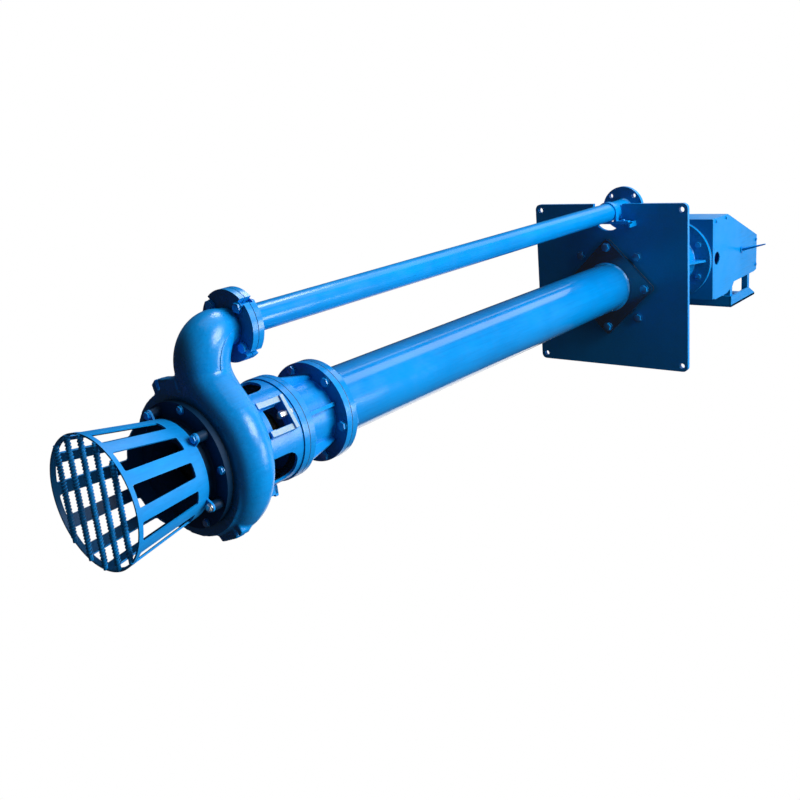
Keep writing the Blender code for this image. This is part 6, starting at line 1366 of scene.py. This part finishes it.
parts = [tray, *sides, sill]
for y in (-SOCKET_MID, SOCKET_MID):
    for height in SOCKETS:
        parts.append(plate("leg", (LEG_FROM, y - LEG_HALF, height - LEG_HALF),
                           (PLATE_FRONT + GAP, y + LEG_HALF, height + LEG_HALF)))
tray = joined("motor_tray_plate", parts)
soften(tray, STEEL_EDGE)
fit(tray, ["motor_plate"], "motor_tray", head_paint)

# %% [markdown]
# ## Pieces that stay as packed
# Keys, bearing rings, seals, the impeller and its nut are out of sight or plain, so their solids
# are kept and only get their metal.

# %% Finishes of the kept solids
KEPT = {"impeller": iron, "seal_carrier": iron, "impeller_nut": steel, "impeller_key": steel,
        "pulley_key": steel, "shaft_lip_seal": rubber, "lower_oil_seal": rubber, "upper_oil_seal": rubber,
        "bearing_lock_nut": steel}
for name in ("lower_bearing", "upper_bearing"):
    for ring in ("_inner_ring", "_outer_ring", "_rollers"):
        KEPT[name + ring] = steel
for node, look in KEPT.items():
    bpy.data.objects[node].material_slots[0].material = look
print("kept solids", len(KEPT))

# %% [markdown]
# ## Floor, lamps and white background
# The pump hangs, so the pale floor lies well below it. In the photograph the light falls mostly
# from the handle's side, so a big soft lamp stands there. A smaller one lights the discharge
# side, a weak one the pump end, and the last keeps the back from going black.

# %% Lamps
def lamp(name, place, aim, size, power):
    """A round soft lamp at a place, turned to an aim."""
    data = bpy.data.lights.new(name, "AREA")
    data.shape = "DISK"
    data.size = size
    data.energy = power
    light = bpy.data.objects.new(name, data)
    way = Vector(aim) - Vector(place)
    light.matrix_world = Matrix.LocRotScale(Vector(place), way.to_track_quat("-Z", "Y"), None)
    bpy.context.scene.collection.objects.link(light)


lamp("key_lamp", (-3.3, -5.5, 0.1), aim=(0, 0, -1.2), size=3.8, power=430.0)
lamp("side_lamp", (-5.0, 0.8, 1.2), aim=(0, 0, -1.0), size=2.4, power=110.0)
lamp("front_lamp", (0.2, -2.9, -0.2), aim=(0, -0.1, -2.2), size=1.4, power=36.0)
lamp("rear_lamp", (3.5, 2.5, 3.0), aim=(0, 0, -0.5), size=3.0, power=22.0)
print("lamps", len(bpy.data.lights))

# %% [markdown]
# The world is dim and a little brighter from above. Paint mirrors one bright upright strip on
# the discharge side, which draws the long streak on the tubes. Only the camera and glass see
# the world as white, so that no extra light falls on the paint, and for the same reason the
# floor is pale for the camera alone.

# %% World and floor
STRIP_WAY, STRIP_EDGE, STRIP_LOW, STRIP_FULL = (-0.997, -0.078, 0.0), (0.89, 0.95), 0.03, 1.0
ZENITH, GLOW_HEIGHTS, GLOW_LOW, GLOW_FULL = (0.86, 0.97), (-0.25, 0.55), 0.01, 0.42
FLOOR_HEIGHT, FLOOR_SIZE, FLOOR_ROUGH = -4.5, 24.0, 0.7
FLOOR_PALE, FLOOR_SPECKLED = (0.80, 0.80, 0.80, 1.0), (0.74, 0.74, 0.75, 1.0)
FLOOR_UNSEEN = (0.04, 0.04, 0.04, 1.0)


def world_light():
    """Dim light from all round, a strip for mirrors and white for the camera."""
    world = bpy.data.worlds.new("studio")
    bpy.context.scene.world = world
    world.use_nodes = True
    recipe = Recipe(world.node_tree)
    way = recipe.node("ShaderNodeTexCoord", {}, {}, "Generated")
    height = recipe.node("ShaderNodeSeparateXYZ", {}, {"Vector": way}, "Z")
    seen = recipe.node("ShaderNodeLightPath", {}, {}, "Is Camera Ray")
    through = recipe.node("ShaderNodeLightPath", {}, {}, "Is Transmission Ray")
    mirrored = recipe.node("ShaderNodeLightPath", {}, {}, "Is Glossy Ray")
    white = seen.most(through)
    glow = recipe.ramp(height, *GLOW_HEIGHTS, GLOW_LOW, GLOW_FULL)
    level = recipe.vector("NORMALIZE", recipe.vector("MULTIPLY", way, (1.0, 1.0, 0.0)))
    toward_strip = recipe.vector("DOT_PRODUCT", level, STRIP_WAY, "Value")
    strip = recipe.ramp(toward_strip, *STRIP_EDGE, STRIP_LOW, STRIP_FULL).most(recipe.ramp(height, *ZENITH))
    strength = white.most(mirrored * strip).most(glow - mirrored)
    background = recipe.node("ShaderNodeBackground", {}, {"Color": (1, 1, 1, 1), "Strength": strength})
    recipe.node("ShaderNodeOutputWorld", {}, {"Surface": background})


world_light()
bpy.ops.mesh.primitive_plane_add(size=FLOOR_SIZE, location=(0, 0, FLOOR_HEIGHT))
floor = settled("floor")
floor_material, recipe = finish_recipe("pale_floor")
speckle = recipe.noise(3.0, 5.0, 0.6)
pale = recipe.blend(speckle * 0.3, FLOOR_PALE, FLOOR_SPECKLED)
looked_at = recipe.node("ShaderNodeLightPath", {}, {}, "Is Camera Ray")
pale = recipe.blend(looked_at, FLOOR_UNSEEN, pale)
surface(recipe, {"Base Color": pale, "Roughness": FLOOR_ROUGH + speckle * 0.1})
floor.data.materials.append(floor_material)
print("floor at", FLOOR_HEIGHT)

# %% [markdown]
# ## Colour view
# Colours are shown with Blender's standard view transform.

# %% Colour view
bpy.context.scene.view_settings.view_transform = "Standard"
